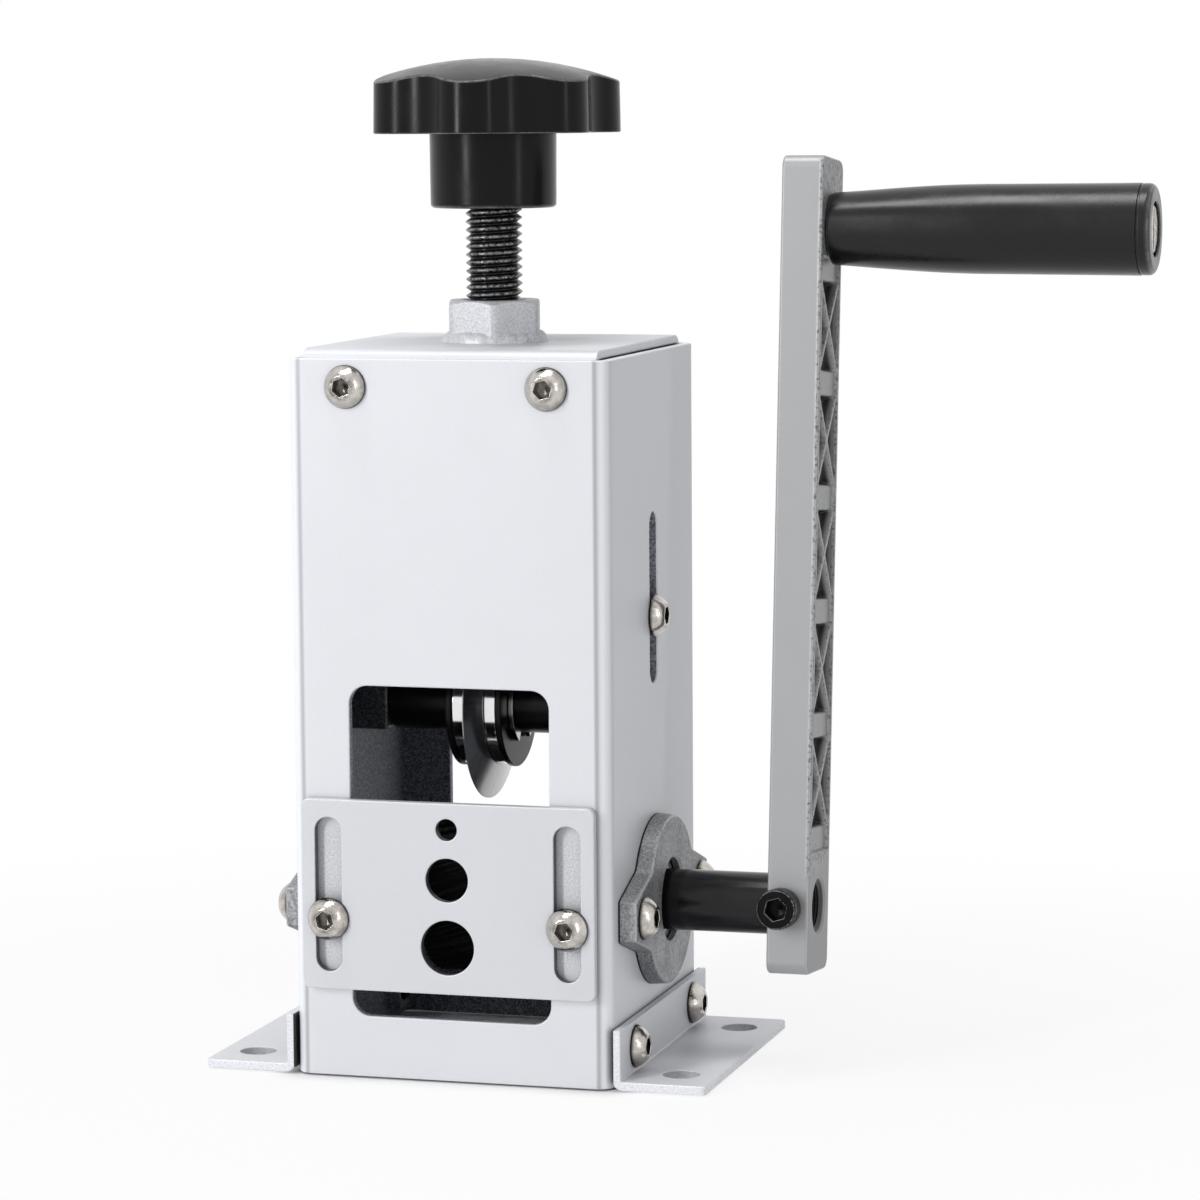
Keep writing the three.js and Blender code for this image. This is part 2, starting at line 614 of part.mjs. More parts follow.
function guidePlate() {
  const middle = GUIDE_BOTTOM + GUIDE_HEIGHT / 2;
  const outline = roundedBox(GUIDE_WIDTH, GUIDE_HEIGHT, GUIDE_CORNER, 0, middle);
  [-1, 1].forEach((side) => outline.holes.push(roundedBox(
    GUIDE_SLOT_WIDTH, GUIDE_SLOT_LENGTH, GUIDE_SLOT_WIDTH / 2, (side * GUIDE_SLOT_SPACING) / 2, middle,
  )));
  const plate = slab(outline, 'y', GUIDE_FRONT, GUIDE_BACK, CORNER_STEPS);
  const holes = GUIDE_HOLES.map(({ radius, up }) => drill(
    radius, 'y', GUIDE_FRONT - CUT_OVERRUN, GUIDE_BACK + CUT_OVERRUN, [0, 0, GUIDE_BOTTOM + up],
  ));
  return cut(plate, ...holes);
}

// Pieces on the crank turn about the X axis; the group is lifted and leaned afterwards.

function driveShaft() {
  const left = -HALF_TUBE - FLANGE_PLATE + SHAFT_INSET;
  const right = ARM_INNER + ARM_SEAT_DEPTH - FIT_GAP;
  const chamfer = SHAFT_INSET;
  const bar = turned([
    [0, left], [SHAFT_RADIUS - chamfer, left], [SHAFT_RADIUS, left + chamfer],
    [SHAFT_RADIUS, right - chamfer], [SHAFT_RADIUS - chamfer, right], [0, right],
  ], 'x', [0, 0, 0], MID_SIDES);
  const half = KEY_SIDE / 2 + FIT_GAP;
  const reach = KEY_LENGTH / 2 + FIT_GAP;
  const floor = SHAFT_RADIUS - KEY_SINK - FIT_GAP;
  return cut(bar, block([-reach, -half, floor], [reach, half, SHAFT_RADIUS + CUT_OVERRUN]));
}

function driveKey() {
  const half = KEY_SIDE / 2;
  const floor = SHAFT_RADIUS - KEY_SINK;
  return block([-KEY_LENGTH / 2, -half, floor], [KEY_LENGTH / 2, half, floor + KEY_SIDE]);
}

function feedRoller() {
  const points = Array.from({ length: 2 * ROLLER_TEETH }, (_, i) => {
    const radius = ROLLER_RADIUS - (i % 2) * ROLLER_TOOTH;
    const angle = (Math.PI * i) / ROLLER_TEETH;
    return new THREE.Vector2(radius * Math.cos(angle), radius * Math.sin(angle));
  });
  const half = ROLLER_WIDTH / 2;
  const wheel = slab(new THREE.Shape(points), 'x', -half, half);
  const bore = drill(SHAFT_RADIUS + FIT_GAP, 'x', -half - CUT_OVERRUN, half + CUT_OVERRUN);
  const keyHalf = KEY_SIDE / 2 + FIT_GAP;
  const keyTop = SHAFT_RADIUS - KEY_SINK + KEY_SIDE + FIT_GAP;
  const keyway = block([-half - CUT_OVERRUN, -keyHalf, 0], [half + CUT_OVERRUN, keyHalf, keyTop]);
  return cut(wheel, bore, keyway);
}

function spacerSleeve(side) {
  const inner = SHAFT_RADIUS + FIT_GAP;
  const right = tubeRing(inner, inner + SPACER_WALL, 'x', ROLLER_WIDTH / 2, bearingIn);
  return side > 0 ? right : mirrored(right);
}

function armOutline() {
  const length = ARM_TAIL + ARM_THROW + ARM_HEAD;
  return roundedBox(ARM_WIDTH, length, ARM_CORNER, 0, length / 2 - ARM_TAIL);
}

// One cell's two crossing ribs, from corner to corner between two pads.
function crossRibs(middle, low, high) {
  const halfWidth = ARM_WIDTH / 2 - CHANNEL_RIM;
  const halfLength = (CELL_PITCH - PAD_LENGTH) / 2;
  const angle = Math.atan2(halfLength, halfWidth);
  const length = 2 * Math.hypot(halfWidth, halfLength);
  return [-1, 1].map((way) => toSolid(
    new THREE.BoxGeometry(high - low, length, RIB_WIDTH)
      .rotateX(way * angle)
      .translate((low + high) / 2, 0, middle),
  ));
}

function armTruss() {
  const floor = ARM_OUTER - CHANNEL_DEPTH - FIT_GAP;
  const half = ARM_WIDTH / 2 - CHANNEL_RIM + FIT_GAP;
  const end = CHANNEL_START + CHANNEL_LENGTH;
  const room = block([floor, -half, CHANNEL_START - FIT_GAP], [ARM_OUTER, half, end + FIT_GAP]);
  const pieces = [];
  for (let i = 0; i <= CELL_COUNT; i += 1) {
    const start = CHANNEL_START + i * CELL_PITCH;
    const first = i === 0 ? start - FIT_GAP : start;
    const last = i === CELL_COUNT ? end + FIT_GAP : start + PAD_LENGTH;
    pieces.push(block([floor, -half, first], [ARM_OUTER - PAD_DROP, half, last]));
    if (i < CELL_COUNT) {
      const middle = start + (PAD_LENGTH + CELL_PITCH) / 2;
      pieces.push(...crossRibs(middle, floor, ARM_OUTER - RIB_DROP));
    }
  }
  return join(...pieces).intersect(room);
}

function crankArm() {
  const bar = slab(armOutline(), 'x', ARM_INNER, ARM_OUTER, CORNER_STEPS);
  const half = ARM_WIDTH / 2 - CHANNEL_RIM;
  const channel = block(
    [ARM_OUTER - CHANNEL_DEPTH, -half, CHANNEL_START],
    [ARM_OUTER + CUT_OVERRUN, half, CHANNEL_START + CHANNEL_LENGTH],
  );
  const seat = drill(SHAFT_RADIUS + FIT_GAP, 'x', ARM_INNER - CUT_OVERRUN, ARM_INNER + ARM_SEAT_DEPTH);
  const endHole = turned([
    [0, ARM_INNER], [ARM_END_HOLE_RADIUS, ARM_INNER], [ARM_END_HOLE_RADIUS, ARM_OUTER - ARM_END_CHAMFER],
    [ARM_END_HOLE_RADIUS + ARM_END_CHAMFER, ARM_OUTER],
    [ARM_END_HOLE_RADIUS + ARM_END_CHAMFER, ARM_OUTER + CUT_OVERRUN], [0, ARM_OUTER + CUT_OVERRUN],
  ], 'x', [0, 0, 0], MID_SIDES);
  const boltHole = drill(
    GRIP_BOLT_RADIUS + FIT_GAP, 'x', ARM_INNER - CUT_OVERRUN, ARM_OUTER + CUT_OVERRUN,
    [0, 0, ARM_THROW], SMALL_SIDES,
  );
  const clampHole = drill(
    SCREW_RADIUS, 'y', -ARM_WIDTH / 2 - CUT_OVERRUN, 0, [ARM_INNER + CLAMP_IN, 0, 0], SMALL_SIDES,
  );
  return join(cut(bar, channel, seat, endHole, boltHole, clampHole), armTruss());
}

function clampScrew() {
  const length = ARM_WIDTH / 2 - SHAFT_RADIUS - 2 * FIT_GAP;
  const shank = SCREW_RADIUS - FIT_GAP;
  const top = CLAMP_HEAD_HEIGHT;
  const chamfer = BUTTON_HEIGHT / 6;
  const profile = [
    [0, -length], [shank, -length], [shank, 0], [CLAMP_HEAD_RADIUS, 0],
    [CLAMP_HEAD_RADIUS, top - chamfer], [CLAMP_HEAD_RADIUS - chamfer, top], [0, top],
  ];
  const socket = slab(regular(6, CLAMP_SOCKET_FLATS), 'z', top - CLAMP_SOCKET_DEPTH, top + CUT_OVERRUN);
  const screw = cut(turned(profile, 'z', [0, 0, 0], MID_SIDES), socket);
  const seat = [ARM_INNER + CLAMP_IN, -ARM_WIDTH / 2 - FIT_GAP, 0];
  return seated(screw, seat, [0, -1, 0]);
}

function gripBolt() {
  const headTop = GRIP_END - GRIP_POCKET_DEPTH + RUN_GAP + GRIP_HEAD_HEIGHT;
  const headSeat = headTop - GRIP_HEAD_HEIGHT;
  const chamfer = GRIP_HEAD_HEIGHT / 6;
  const bolt = turned([
    [0, ARM_INNER], [GRIP_BOLT_RADIUS, ARM_INNER], [GRIP_BOLT_RADIUS, headSeat], [GRIP_HEAD_RADIUS, headSeat],
    [GRIP_HEAD_RADIUS, headTop - chamfer], [GRIP_HEAD_RADIUS - chamfer, headTop], [0, headTop],
  ], 'x', [0, 0, ARM_THROW], MID_SIDES);
  const half = GRIP_SLOT_WIDTH / 2;
  const slot = block(
    [headTop - GRIP_SLOT_DEPTH, -half, ARM_THROW - GRIP_HEAD_RADIUS - CUT_OVERRUN],
    [headTop + CUT_OVERRUN, half, ARM_THROW + GRIP_HEAD_RADIUS + CUT_OVERRUN],
  );
  return cut(bolt, slot);
}

// The grip swells in a smooth curve from the arm to its belly and on to its end.
function gripProfile() {
  const middle = GRIP_START + GRIP_LENGTH / 2;
  const curve = new THREE.SplineCurve([
    new THREE.Vector2(GRIP_ROOT_RADIUS, GRIP_START),
    new THREE.Vector2((GRIP_ROOT_RADIUS + 2 * GRIP_BELLY_RADIUS) / 3, (GRIP_START + middle) / 2),
    new THREE.Vector2(GRIP_BELLY_RADIUS, middle),
    new THREE.Vector2(GRIP_END_RADIUS, GRIP_END - GRIP_EDGE),
  ]);
  return curve.getPoints(GRIP_STEPS).map((point) => [point.x, point.y]);
}

function grip() {
  const bore = (GRIP_BOLT_RADIUS + RUN_GAP) / Math.cos(Math.PI / MID_SIDES);
  const pocket = GRIP_END - GRIP_POCKET_DEPTH;
  const profile = [
    [bore, GRIP_START], ...gripProfile(), [GRIP_END_RADIUS - GRIP_EDGE / 3, GRIP_END - GRIP_EDGE / 3],
    [GRIP_END_RADIUS - GRIP_EDGE, GRIP_END], [GRIP_POCKET_RADIUS, GRIP_END],
    [GRIP_POCKET_RADIUS, pocket], [bore, pocket], [bore, GRIP_START],
  ];
  return turned(profile, 'x', [0, 0, ARM_THROW], MID_SIDES);
}

// Carrier: an arch that slides between the tube's side walls

function bladeCarrier() {
  const middle = (CARRIER_BOTTOM + CARRIER_TOP) / 2;
  const height = CARRIER_TOP - CARRIER_BOTTOM;
  const front = -CARRIER_DEPTH / 2;
  const outline = roundedBox(2 * CARRIER_OUTER, height, CARRIER_CORNER, 0, middle);
  const body = slab(outline, 'y', front, -front);
  const arch = block(
    [-CARRIER_INNER, front - CUT_OVERRUN, CARRIER_BOTTOM - CUT_OVERRUN],
    [CARRIER_INNER, -front + CUT_OVERRUN, CARRIER_ROOF_BOTTOM],
  );
  const reach = CARRIER_OUTER + CUT_OVERRUN;
  const axleHole = drill(AXLE_END_RADIUS + FIT_GAP, 'x', -reach, reach, [0, 0, AXLE_HEIGHT], MID_SIDES);
  const neckHole = drill(
    NECK_RADIUS + RUN_GAP, 'z', CARRIER_ROOF_BOTTOM - CUT_OVERRUN, CARRIER_TOP + CUT_OVERRUN, [0, 0, 0], MID_SIDES,
  );
  const sideHoles = drill(
    SCREW_RADIUS + FIT_GAP, 'x', -reach, reach, [0, 0, CARRIER_SCREW_HEIGHT], SMALL_SIDES,
  );
  const grubX = (CARRIER_INNER + CARRIER_OUTER) / 2;
  const grubHoles = [-1, 1].map((side) => drill(
    AXLE_GRUB_RADIUS + FIT_GAP, 'y', 0, -front + CUT_OVERRUN, [side * grubX, 0, AXLE_HEIGHT], SMALL_SIDES,
  ));
  return cut(body, arch, axleHole, neckHole, sideHoles, ...grubHoles);
}

function axleGrub(side) {
  const x = (CARRIER_INNER + CARRIER_OUTER) / 2;
  const low = AXLE_END_RADIUS + FIT_GAP;
  const high = CARRIER_DEPTH / 2 - FIT_GAP;
  return rod(AXLE_GRUB_RADIUS, 'y', low, high, [side * x, 0, AXLE_HEIGHT], SMALL_SIDES);
}

// A stretch along X on one side of the blade's middle, low end first.
function stretch(side, near, far) {
  const ends = [side * near, side * far];
  return [Math.min(...ends), Math.max(...ends)];
}

const clipPlaces = SIDES.map(({ side }) => stretch(side, CLIP_INNER, CLIP_INNER + CLIP_THICK));

function bladeAxle() {
  const shoulder = CARRIER_INNER - FIT_GAP;
  const end = CARRIER_OUTER - FIT_GAP;
  const groove = AXLE_RADIUS - CLIP_GROOVE;
  const grooved = clipPlaces.flatMap(([low, high]) => {
    const start = BLADE_OFFSET + low - FIT_GAP;
    const stop = BLADE_OFFSET + high + FIT_GAP;
    return [[AXLE_RADIUS, start], [groove, start], [groove, stop], [AXLE_RADIUS, stop]];
  });
  return turned([
    [0, -end], [AXLE_END_RADIUS, -end], [AXLE_END_RADIUS, -shoulder], [AXLE_RADIUS, -shoulder],
    ...grooved,
    [AXLE_RADIUS, shoulder], [AXLE_END_RADIUS, shoulder], [AXLE_END_RADIUS, end], [0, end],
  ], 'x', [0, 0, AXLE_HEIGHT], MID_SIDES);
}

// A retaining ring: flat, open at the bottom, thicker at its two eyes.
function snapRing(inner, outer, axis, low, high, centre, mouth) {
  const shape = new THREE.Shape();
  const start = -Math.PI / 2 + mouth / 2;
  const end = 1.5 * Math.PI - mouth / 2;
  shape.absarc(0, 0, outer, start, end, false);
  shape.absarc(0, 0, inner, end, start, true);
  const ring = slab(shape, axis, low, high, SMALL_SIDES);
  return toSolid(toGeometry(ring).translate(...centre));
}

// Blade and what turns with it, all placed from the middle of the blade

const bladeCentre = [BLADE_OFFSET, 0, AXLE_HEIGHT];

function bladeClip(side) {
  const inner = AXLE_RADIUS - CLIP_GROOVE + FIT_GAP;
  const [low, high] = stretch(side, CLIP_INNER, CLIP_INNER + CLIP_THICK);
  return snapRing(inner, CLIP_RADIUS, 'x', low, high, bladeCentre, CLIP_MOUTH);
}

function cuttingDisc() {
  const half = BLADE_THICK / 2;
  const edge = BLADE_EDGE / 2;
  const bore = (BUSH_RADIUS + FIT_GAP) / Math.cos(Math.PI / BIG_SIDES);
  return turned([
    [bore, -half], [BLADE_LAND_RADIUS, -half], [BLADE_RADIUS, -edge], [BLADE_RADIUS, edge],
    [BLADE_LAND_RADIUS, half], [bore, half], [bore, -half],
  ], 'x', bladeCentre, BIG_SIDES);
}

function bladeBush() {
  return tubeRing(AXLE_RADIUS + FIT_GAP, BUSH_RADIUS, 'x', -STACK_HALF, STACK_HALF, bladeCentre);
}

function bladeRing(side) {
  const [low, high] = stretch(side, BLADE_THICK / 2, STACK_HALF);
  return tubeRing(BUSH_RADIUS + FIT_GAP, RING_RADIUS, 'x', low, high, bladeCentre, BIG_SIDES);
}

function thrustWasher(side) {
  const [low, high] = stretch(side, WASHER_INNER, WASHER_INNER + WASHER_THICK);
  return tubeRing(AXLE_RADIUS + FIT_GAP, WASHER_RADIUS, 'x', low, high, bladeCentre, BIG_SIDES);
}

// Adjusting screw

const washerTop = CARRIER_ROOF_BOTTOM - FIT_GAP;
const washerBottom = washerTop - RETAINER_WASHER_THICK;
const clipTop = washerBottom - FIT_GAP;
const clipBottom = clipTop - RETAINER_CLIP_THICK;

function adjustingScrew() {
  const bottom = clipBottom - NECK_TAIL;
  const groove = NECK_RADIUS - CLIP_GROOVE;
  const shoulder = CARRIER_TOP + FIT_GAP;
  const top = KNOB_BOTTOM + KNOB_BORE_DEPTH - FIT_GAP;
  return turned([
    [0, bottom], [NECK_RADIUS, bottom], [NECK_RADIUS, clipBottom - FIT_GAP], [groove, clipBottom - FIT_GAP],
    [groove, clipTop + FIT_GAP / 2], [NECK_RADIUS, clipTop + FIT_GAP / 2], [NECK_RADIUS, shoulder],
    [ADJUST_RADIUS, shoulder], [ADJUST_RADIUS, top], [0, top],
  ], 'z', [0, 0, 0], MID_SIDES);
}

function retainerWasher() {
  return tubeRing(NECK_RADIUS + FIT_GAP, RETAINER_WASHER_RADIUS, 'z', washerBottom, washerTop);
}

function retainerClip() {
  const inner = NECK_RADIUS - CLIP_GROOVE + FIT_GAP;
  return snapRing(inner, RETAINER_CLIP_RADIUS, 'z', clipBottom, clipTop, [0, 0, 0], CLIP_MOUTH);
}

// Star outline: equal lobes joined by hollow arcs that meet them smoothly.
function starOutline() {
  const half = Math.PI / KNOB_LOBES;
  const lobeOut = KNOB_RADIUS - KNOB_LOBE_RADIUS;
  const over = KNOB_LOBE_RADIUS ** 2 - lobeOut ** 2 - KNOB_WAIST_RADIUS ** 2
    + 2 * lobeOut * KNOB_WAIST_RADIUS * Math.cos(half);
  const hollow = over / (2 * (KNOB_WAIST_RADIUS - lobeOut * Math.cos(half) - KNOB_LOBE_RADIUS));
  const hollowOut = KNOB_WAIST_RADIUS + hollow;
  const rise = hollowOut * Math.sin(half);
  const run = hollowOut * Math.cos(half) - lobeOut;
  const meet = Math.atan2(rise, run);
  const outline = new THREE.Shape();
  for (let i = 0; i < KNOB_LOBES; i += 1) {
    const lobe = KNOB_TURN + 2 * half * i;
    const gap = lobe + half;
    outline.absarc(
      lobeOut * Math.cos(lobe), lobeOut * Math.sin(lobe), KNOB_LOBE_RADIUS, lobe - meet, lobe + meet, false,
    );
    const sweep = meet - half;
    outline.absarc(
      hollowOut * Math.cos(gap), hollowOut * Math.sin(gap), hollow,
      gap + Math.PI + sweep, gap + Math.PI - sweep, true,
    );
  }
  return outline;
}

function knob() {
  const rimBottom = KNOB_RIM_BOTTOM;
  const rimTop = rimBottom + KNOB_RIM_HEIGHT;
  const top = rimTop + KNOB_CROWN;
  const star = slab(starOutline(), 'z', rimBottom, top);
  const big = KNOB_RADIUS + CUT_OVERRUN;
  const crownRadius = (KNOB_RADIUS ** 2 + KNOB_CROWN ** 2) / (2 * KNOB_CROWN);
  const crown = Array.from({ length: CROWN_STEPS + 1 }, (_, i) => {
    const radius = ((KNOB_RADIUS - KNOB_EDGE) * (CROWN_STEPS - i)) / CROWN_STEPS;
    return [radius, top - crownRadius + Math.sqrt(crownRadius ** 2 - radius ** 2)];
  });
  const dome = turned([
    [0, rimBottom], [KNOB_RADIUS - KNOB_EDGE, rimBottom], [big, rimBottom + KNOB_EDGE + CUT_OVERRUN],
    [big, rimTop - KNOB_EDGE - CUT_OVERRUN], ...crown,
  ], 'z', [0, 0, 0], BIG_SIDES);
  const hub = turned([
    [0, KNOB_BOTTOM], [HUB_RADIUS - HUB_CHAMFER, KNOB_BOTTOM], [HUB_RADIUS, KNOB_BOTTOM + HUB_CHAMFER],
    [HUB_RADIUS, rimBottom + KNOB_EDGE], [0, rimBottom + KNOB_EDGE],
  ], 'z', [0, 0, 0], BIG_SIDES);
  const bore = drill(ADJUST_RADIUS + FIT_GAP, 'z', KNOB_BOTTOM - CUT_OVERRUN, KNOB_BOTTOM + KNOB_BORE_DEPTH);
  return cut(join(star.intersect(dome), hub), bore);
}

// Finishes

function finish(color, roughness, metalness) {
  return new THREE.MeshStandardMaterial({ color, roughness, metalness });
}

const paint = () => finish(0x9fa1a3, 0.55, 0.5);
const castGrey = () => finish(0x8e9093, 0.5, 0.7);
const armGrey = () => finish(0xa9abae, 0.45, 0.7);
const blackSteel = () => finish(0x1d1e20, 0.4, 0.6);
const blackPlastic = () => finish(0x17181a, 0.35, 0);
const zincSteel = () => finish(0xb9bcc0, 0.3, 0.9);
const polishedSteel = () => finish(0xd0d2d5, 0.15, 1);
const darkBlade = () => finish(0x3c3e42, 0.3, 0.9);

function piece(name, solid, material) {
  const mesh = new THREE.Mesh(toGeometry(solid), material);
  mesh.name = name;
  return mesh;
}

// Assembly

const stripper = new THREE.Group();

// One named screw on each seat, long enough to pass the plates and its nut.
function addScrews(kind, seats, length) {
  seats.forEach(({ name, at, facing }) => stripper.add(
    piece(`${kind}_${name}`, seated(buttonScrew(length), at, facing), zincSteel()),
  ));
}

const beyondGrip = NUT_HEIGHT + SCREW_TAIL;
addScrews('lid_screw', lidSeats, lidGrip + beyondGrip);
addScrews('foot_screw', footSeats, footGrip + beyondGrip);
addScrews('flange_screw', flangeSeats, flangeGrip + beyondGrip);
addScrews('guide_screw', guideSeats, guideGrip + beyondGrip);
addScrews('carrier_screw', carrierSeats, CARRIER_SCREW_LENGTH);

stripper.add(
  piece('housing_tube', housingTube(), paint()),
  piece('lid', lid(), paint()),
  piece('screw_nut', topNut(), paint()),
  piece('guide_plate', guidePlate(), paint()),
  piece('blade_carrier', bladeCarrier(), blackSteel()),
  piece('blade_axle', bladeAxle(), blackSteel()),
  piece('cutting_disc', cuttingDisc(), darkBlade()),
  piece('blade_bush', bladeBush(), polishedSteel()),
  piece('adjusting_screw', adjustingScrew(), blackSteel()),
  piece('retainer_washer', retainerWasher(), zincSteel()),
  piece('retainer_clip', retainerClip(), polishedSteel()),
  piece('star_knob', knob(), blackPlastic()),
);

SIDES.forEach(({ name, side }) => stripper.add(
  piece(`foot_${name}`, foot(side), paint()),
  piece(`bearing_flange_${name}`, bearingFlange(side), castGrey()),
  piece(`bearing_outer_${name}`, bearingOuter(side), zincSteel()),
  piece(`axle_grub_${name}`, axleGrub(side), blackSteel()),
  piece(`blade_ring_${name}`, bladeRing(side), polishedSteel()),
  piece(`thrust_washer_${name}`, thrustWasher(side), blackSteel()),
  piece(`blade_clip_${name}`, bladeClip(side), polishedSteel()),
));

const crank = new THREE.Group();
crank.add(
  piece('drive_shaft', driveShaft(), blackSteel()),
  piece('drive_key', driveKey(), zincSteel()),
  piece('feed_roller', feedRoller(), blackSteel()),
  piece('crank_arm', crankArm(), armGrey()),
  piece('clamp_screw', clampScrew(), blackSteel()),
  piece('grip_bolt', gripBolt(), zincSteel()),
  piece('grip', grip(), blackPlastic()),
);
SIDES.forEach(({ name, side }) => crank.add(
  piece(`bearing_inner_${name}`, bearingInner(side), zincSteel()),
  piece(`spacer_sleeve_${name}`, spacerSleeve(side), blackSteel()),
));
crank.rotation.x = -ARM_LEAN;
crank.position.z = SHAFT_HEIGHT;
stripper.add(crank);

stripper.position.set(
  -(GRIP_END - HALF_TUBE - FOOT_REACH) / 2,
  (FRONT_REACH - BACK_REACH) / 2,
  0,
);

export default stripper;
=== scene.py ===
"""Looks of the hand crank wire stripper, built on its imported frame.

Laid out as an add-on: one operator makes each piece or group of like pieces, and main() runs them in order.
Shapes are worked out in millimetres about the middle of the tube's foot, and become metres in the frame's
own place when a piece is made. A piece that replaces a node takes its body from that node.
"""

import json
import math

import bpy
import numpy as np
from bpy.props import FloatProperty, FloatVectorProperty, IntProperty, PointerProperty
from bpy.types import Operator, Panel, PropertyGroup
from mathutils import Matrix, Vector
from mathutils.geometry import tessellate_polygon

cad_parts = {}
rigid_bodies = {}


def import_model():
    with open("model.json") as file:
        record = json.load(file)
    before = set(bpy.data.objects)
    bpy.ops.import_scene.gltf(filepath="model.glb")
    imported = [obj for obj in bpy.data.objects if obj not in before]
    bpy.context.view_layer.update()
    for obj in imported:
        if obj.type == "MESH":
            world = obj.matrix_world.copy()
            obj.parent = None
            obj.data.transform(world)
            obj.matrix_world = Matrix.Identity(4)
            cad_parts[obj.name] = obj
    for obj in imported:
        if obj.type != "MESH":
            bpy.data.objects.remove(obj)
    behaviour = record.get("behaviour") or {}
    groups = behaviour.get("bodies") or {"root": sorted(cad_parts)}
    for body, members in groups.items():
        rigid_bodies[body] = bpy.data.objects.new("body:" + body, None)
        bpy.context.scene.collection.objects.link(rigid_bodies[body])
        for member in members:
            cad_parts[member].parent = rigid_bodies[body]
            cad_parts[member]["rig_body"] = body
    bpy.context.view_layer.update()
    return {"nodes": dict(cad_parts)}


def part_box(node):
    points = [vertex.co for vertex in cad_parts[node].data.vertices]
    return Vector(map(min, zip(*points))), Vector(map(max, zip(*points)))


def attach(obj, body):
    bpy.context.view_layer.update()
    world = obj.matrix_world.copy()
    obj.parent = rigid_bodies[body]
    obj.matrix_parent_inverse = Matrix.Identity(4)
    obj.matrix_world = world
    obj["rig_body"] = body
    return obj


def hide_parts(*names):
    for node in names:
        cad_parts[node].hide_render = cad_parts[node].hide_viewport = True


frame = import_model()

bl_info = {
    "name": "Hand Crank Wire Stripper",
    "version": (1, 0, 0),
    "blender": (4, 2, 0),
    "location": "3D View > Sidebar > Wire Stripper",
    "description": "Builds the looks of a hand crank wire stripper on its packed frame",
    "category": "Object",
}

MM = 0.001
QUARTER = math.pi / 2
TURN = 2 * math.pi

# Where the tube's foot stands in the frame, in millimetres
tube_low, tube_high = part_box("housing_tube")
FOOT = np.array([(tube_low.x + tube_high.x) / 2, (tube_low.y + tube_high.y) / 2, 0.0]) / MM
SIDES = {"left": -1, "right": 1}
ENDS = {"front": -1, "back": 1}

# Housing, in millimetres
FIT = 0.1
# How far the painted shadow of the gap beside the tube reaches
GAP_SHADE_REACH = 0.45
HALF = 40.0
WALL = 2.5
TUBE_CORNER = 4.0
TUBE_FLAT = HALF - TUBE_CORNER
TUBE_HEIGHT = 174.0
WINDOW = (50.0, 80.5)
WINDOW_BOTTOM = 15.0
WINDOW_CORNER = 4.5
SIDE_SLOT = (7.0, 42.0)
SIDE_SLOT_BOTTOM = 93.0
SHAFT_HEIGHT = 39.5
LID_PLATE = 2.2
LID_TOP = TUBE_HEIGHT + LID_PLATE
LID_FLANGE = 17.0
LID_BEND = 3.4
LID_HALF_WIDTH = 36.7
LID_HALF_DEPTH = 37.4
LID_SCREW_HEIGHT = 167.2
LID_SCREW_OUT = 25.0
NUT_FLATS = 22.0
NUT_HEIGHT = 10.2
NUT_TURN = math.radians(16)
NUT_REACH = 12.32
NUT_CONE = 10.75
NUT_CONE_SLOPE = 0.62
NUT_BORE = 7.35
WELD_RADIUS = 13.2
WELD_HEIGHT = 2.6
FOOT_REACH = 23.2
FOOT_PLATE = 2.2
FOOT_RISE = 14.5
FOOT_BEND = 2.7
FOOT_CORNER = 1.2
FOOT_EDGE = 0.35
FOOT_HOLE = 4.5
FOOT_HOLE_OUT = 14.0
FOOT_HOLE_SPACING = 56.0
FOOT_SCREW_HEIGHT = 8.2
SCREW_SPACING = 53.0
FLANGE_PLATE = 4.5
FLANGE_SLOPE = 0.6
FLANGE_DISC = 21.0
FLANGE_BORE = 10.25
EAR_TIP = 33.5
EAR_SIDE = 15.318
EAR_SIDE_FACING = (0.3156, 0.9489)
BEARING_SEAT = 2.5
BEARING_FACE = 42.4
BEARING_WIDTH = 9.0
BEARING_RADIUS = 16.0
OUTER_RACE = 13.4
SEAL_INNER = 10.4
INNER_RACE = 10.0

# Guide plate, screws and weld nuts
GUIDE_BACK = 40.1
GUIDE_FRONT = 42.6
GUIDE_SIZE = (73.6, 46.4)
GUIDE_CORNER = 2.0
GUIDE_BOTTOM = 21.7
GUIDE_SLOT = (6.5, 37.5)
GUIDE_SLOT_OUT = 30.0
GUIDE_SCREW_HEIGHT = 38.9
GUIDE_HOLES = ((2.6, 61.7), (5.25, 49.5), (6.6, 33.1))
SCREW_RADIUS = 3.0
BUTTON_RADIUS = 5.25
BUTTON_HEIGHT = 3.3
BUTTON_RIM = 0.2
BUTTON_FLAT = 2.75
BUTTON_KEY = 4.0
HOLLOW_EDGE = 0.16
HEAD_STAND_OFF = 0.05
SMALL_NUT_FLATS = 10.0
SMALL_NUT_HEIGHT = 3.2
SCREW_TAIL = 0.8
CARRIER_SCREW_LENGTH = 10.0

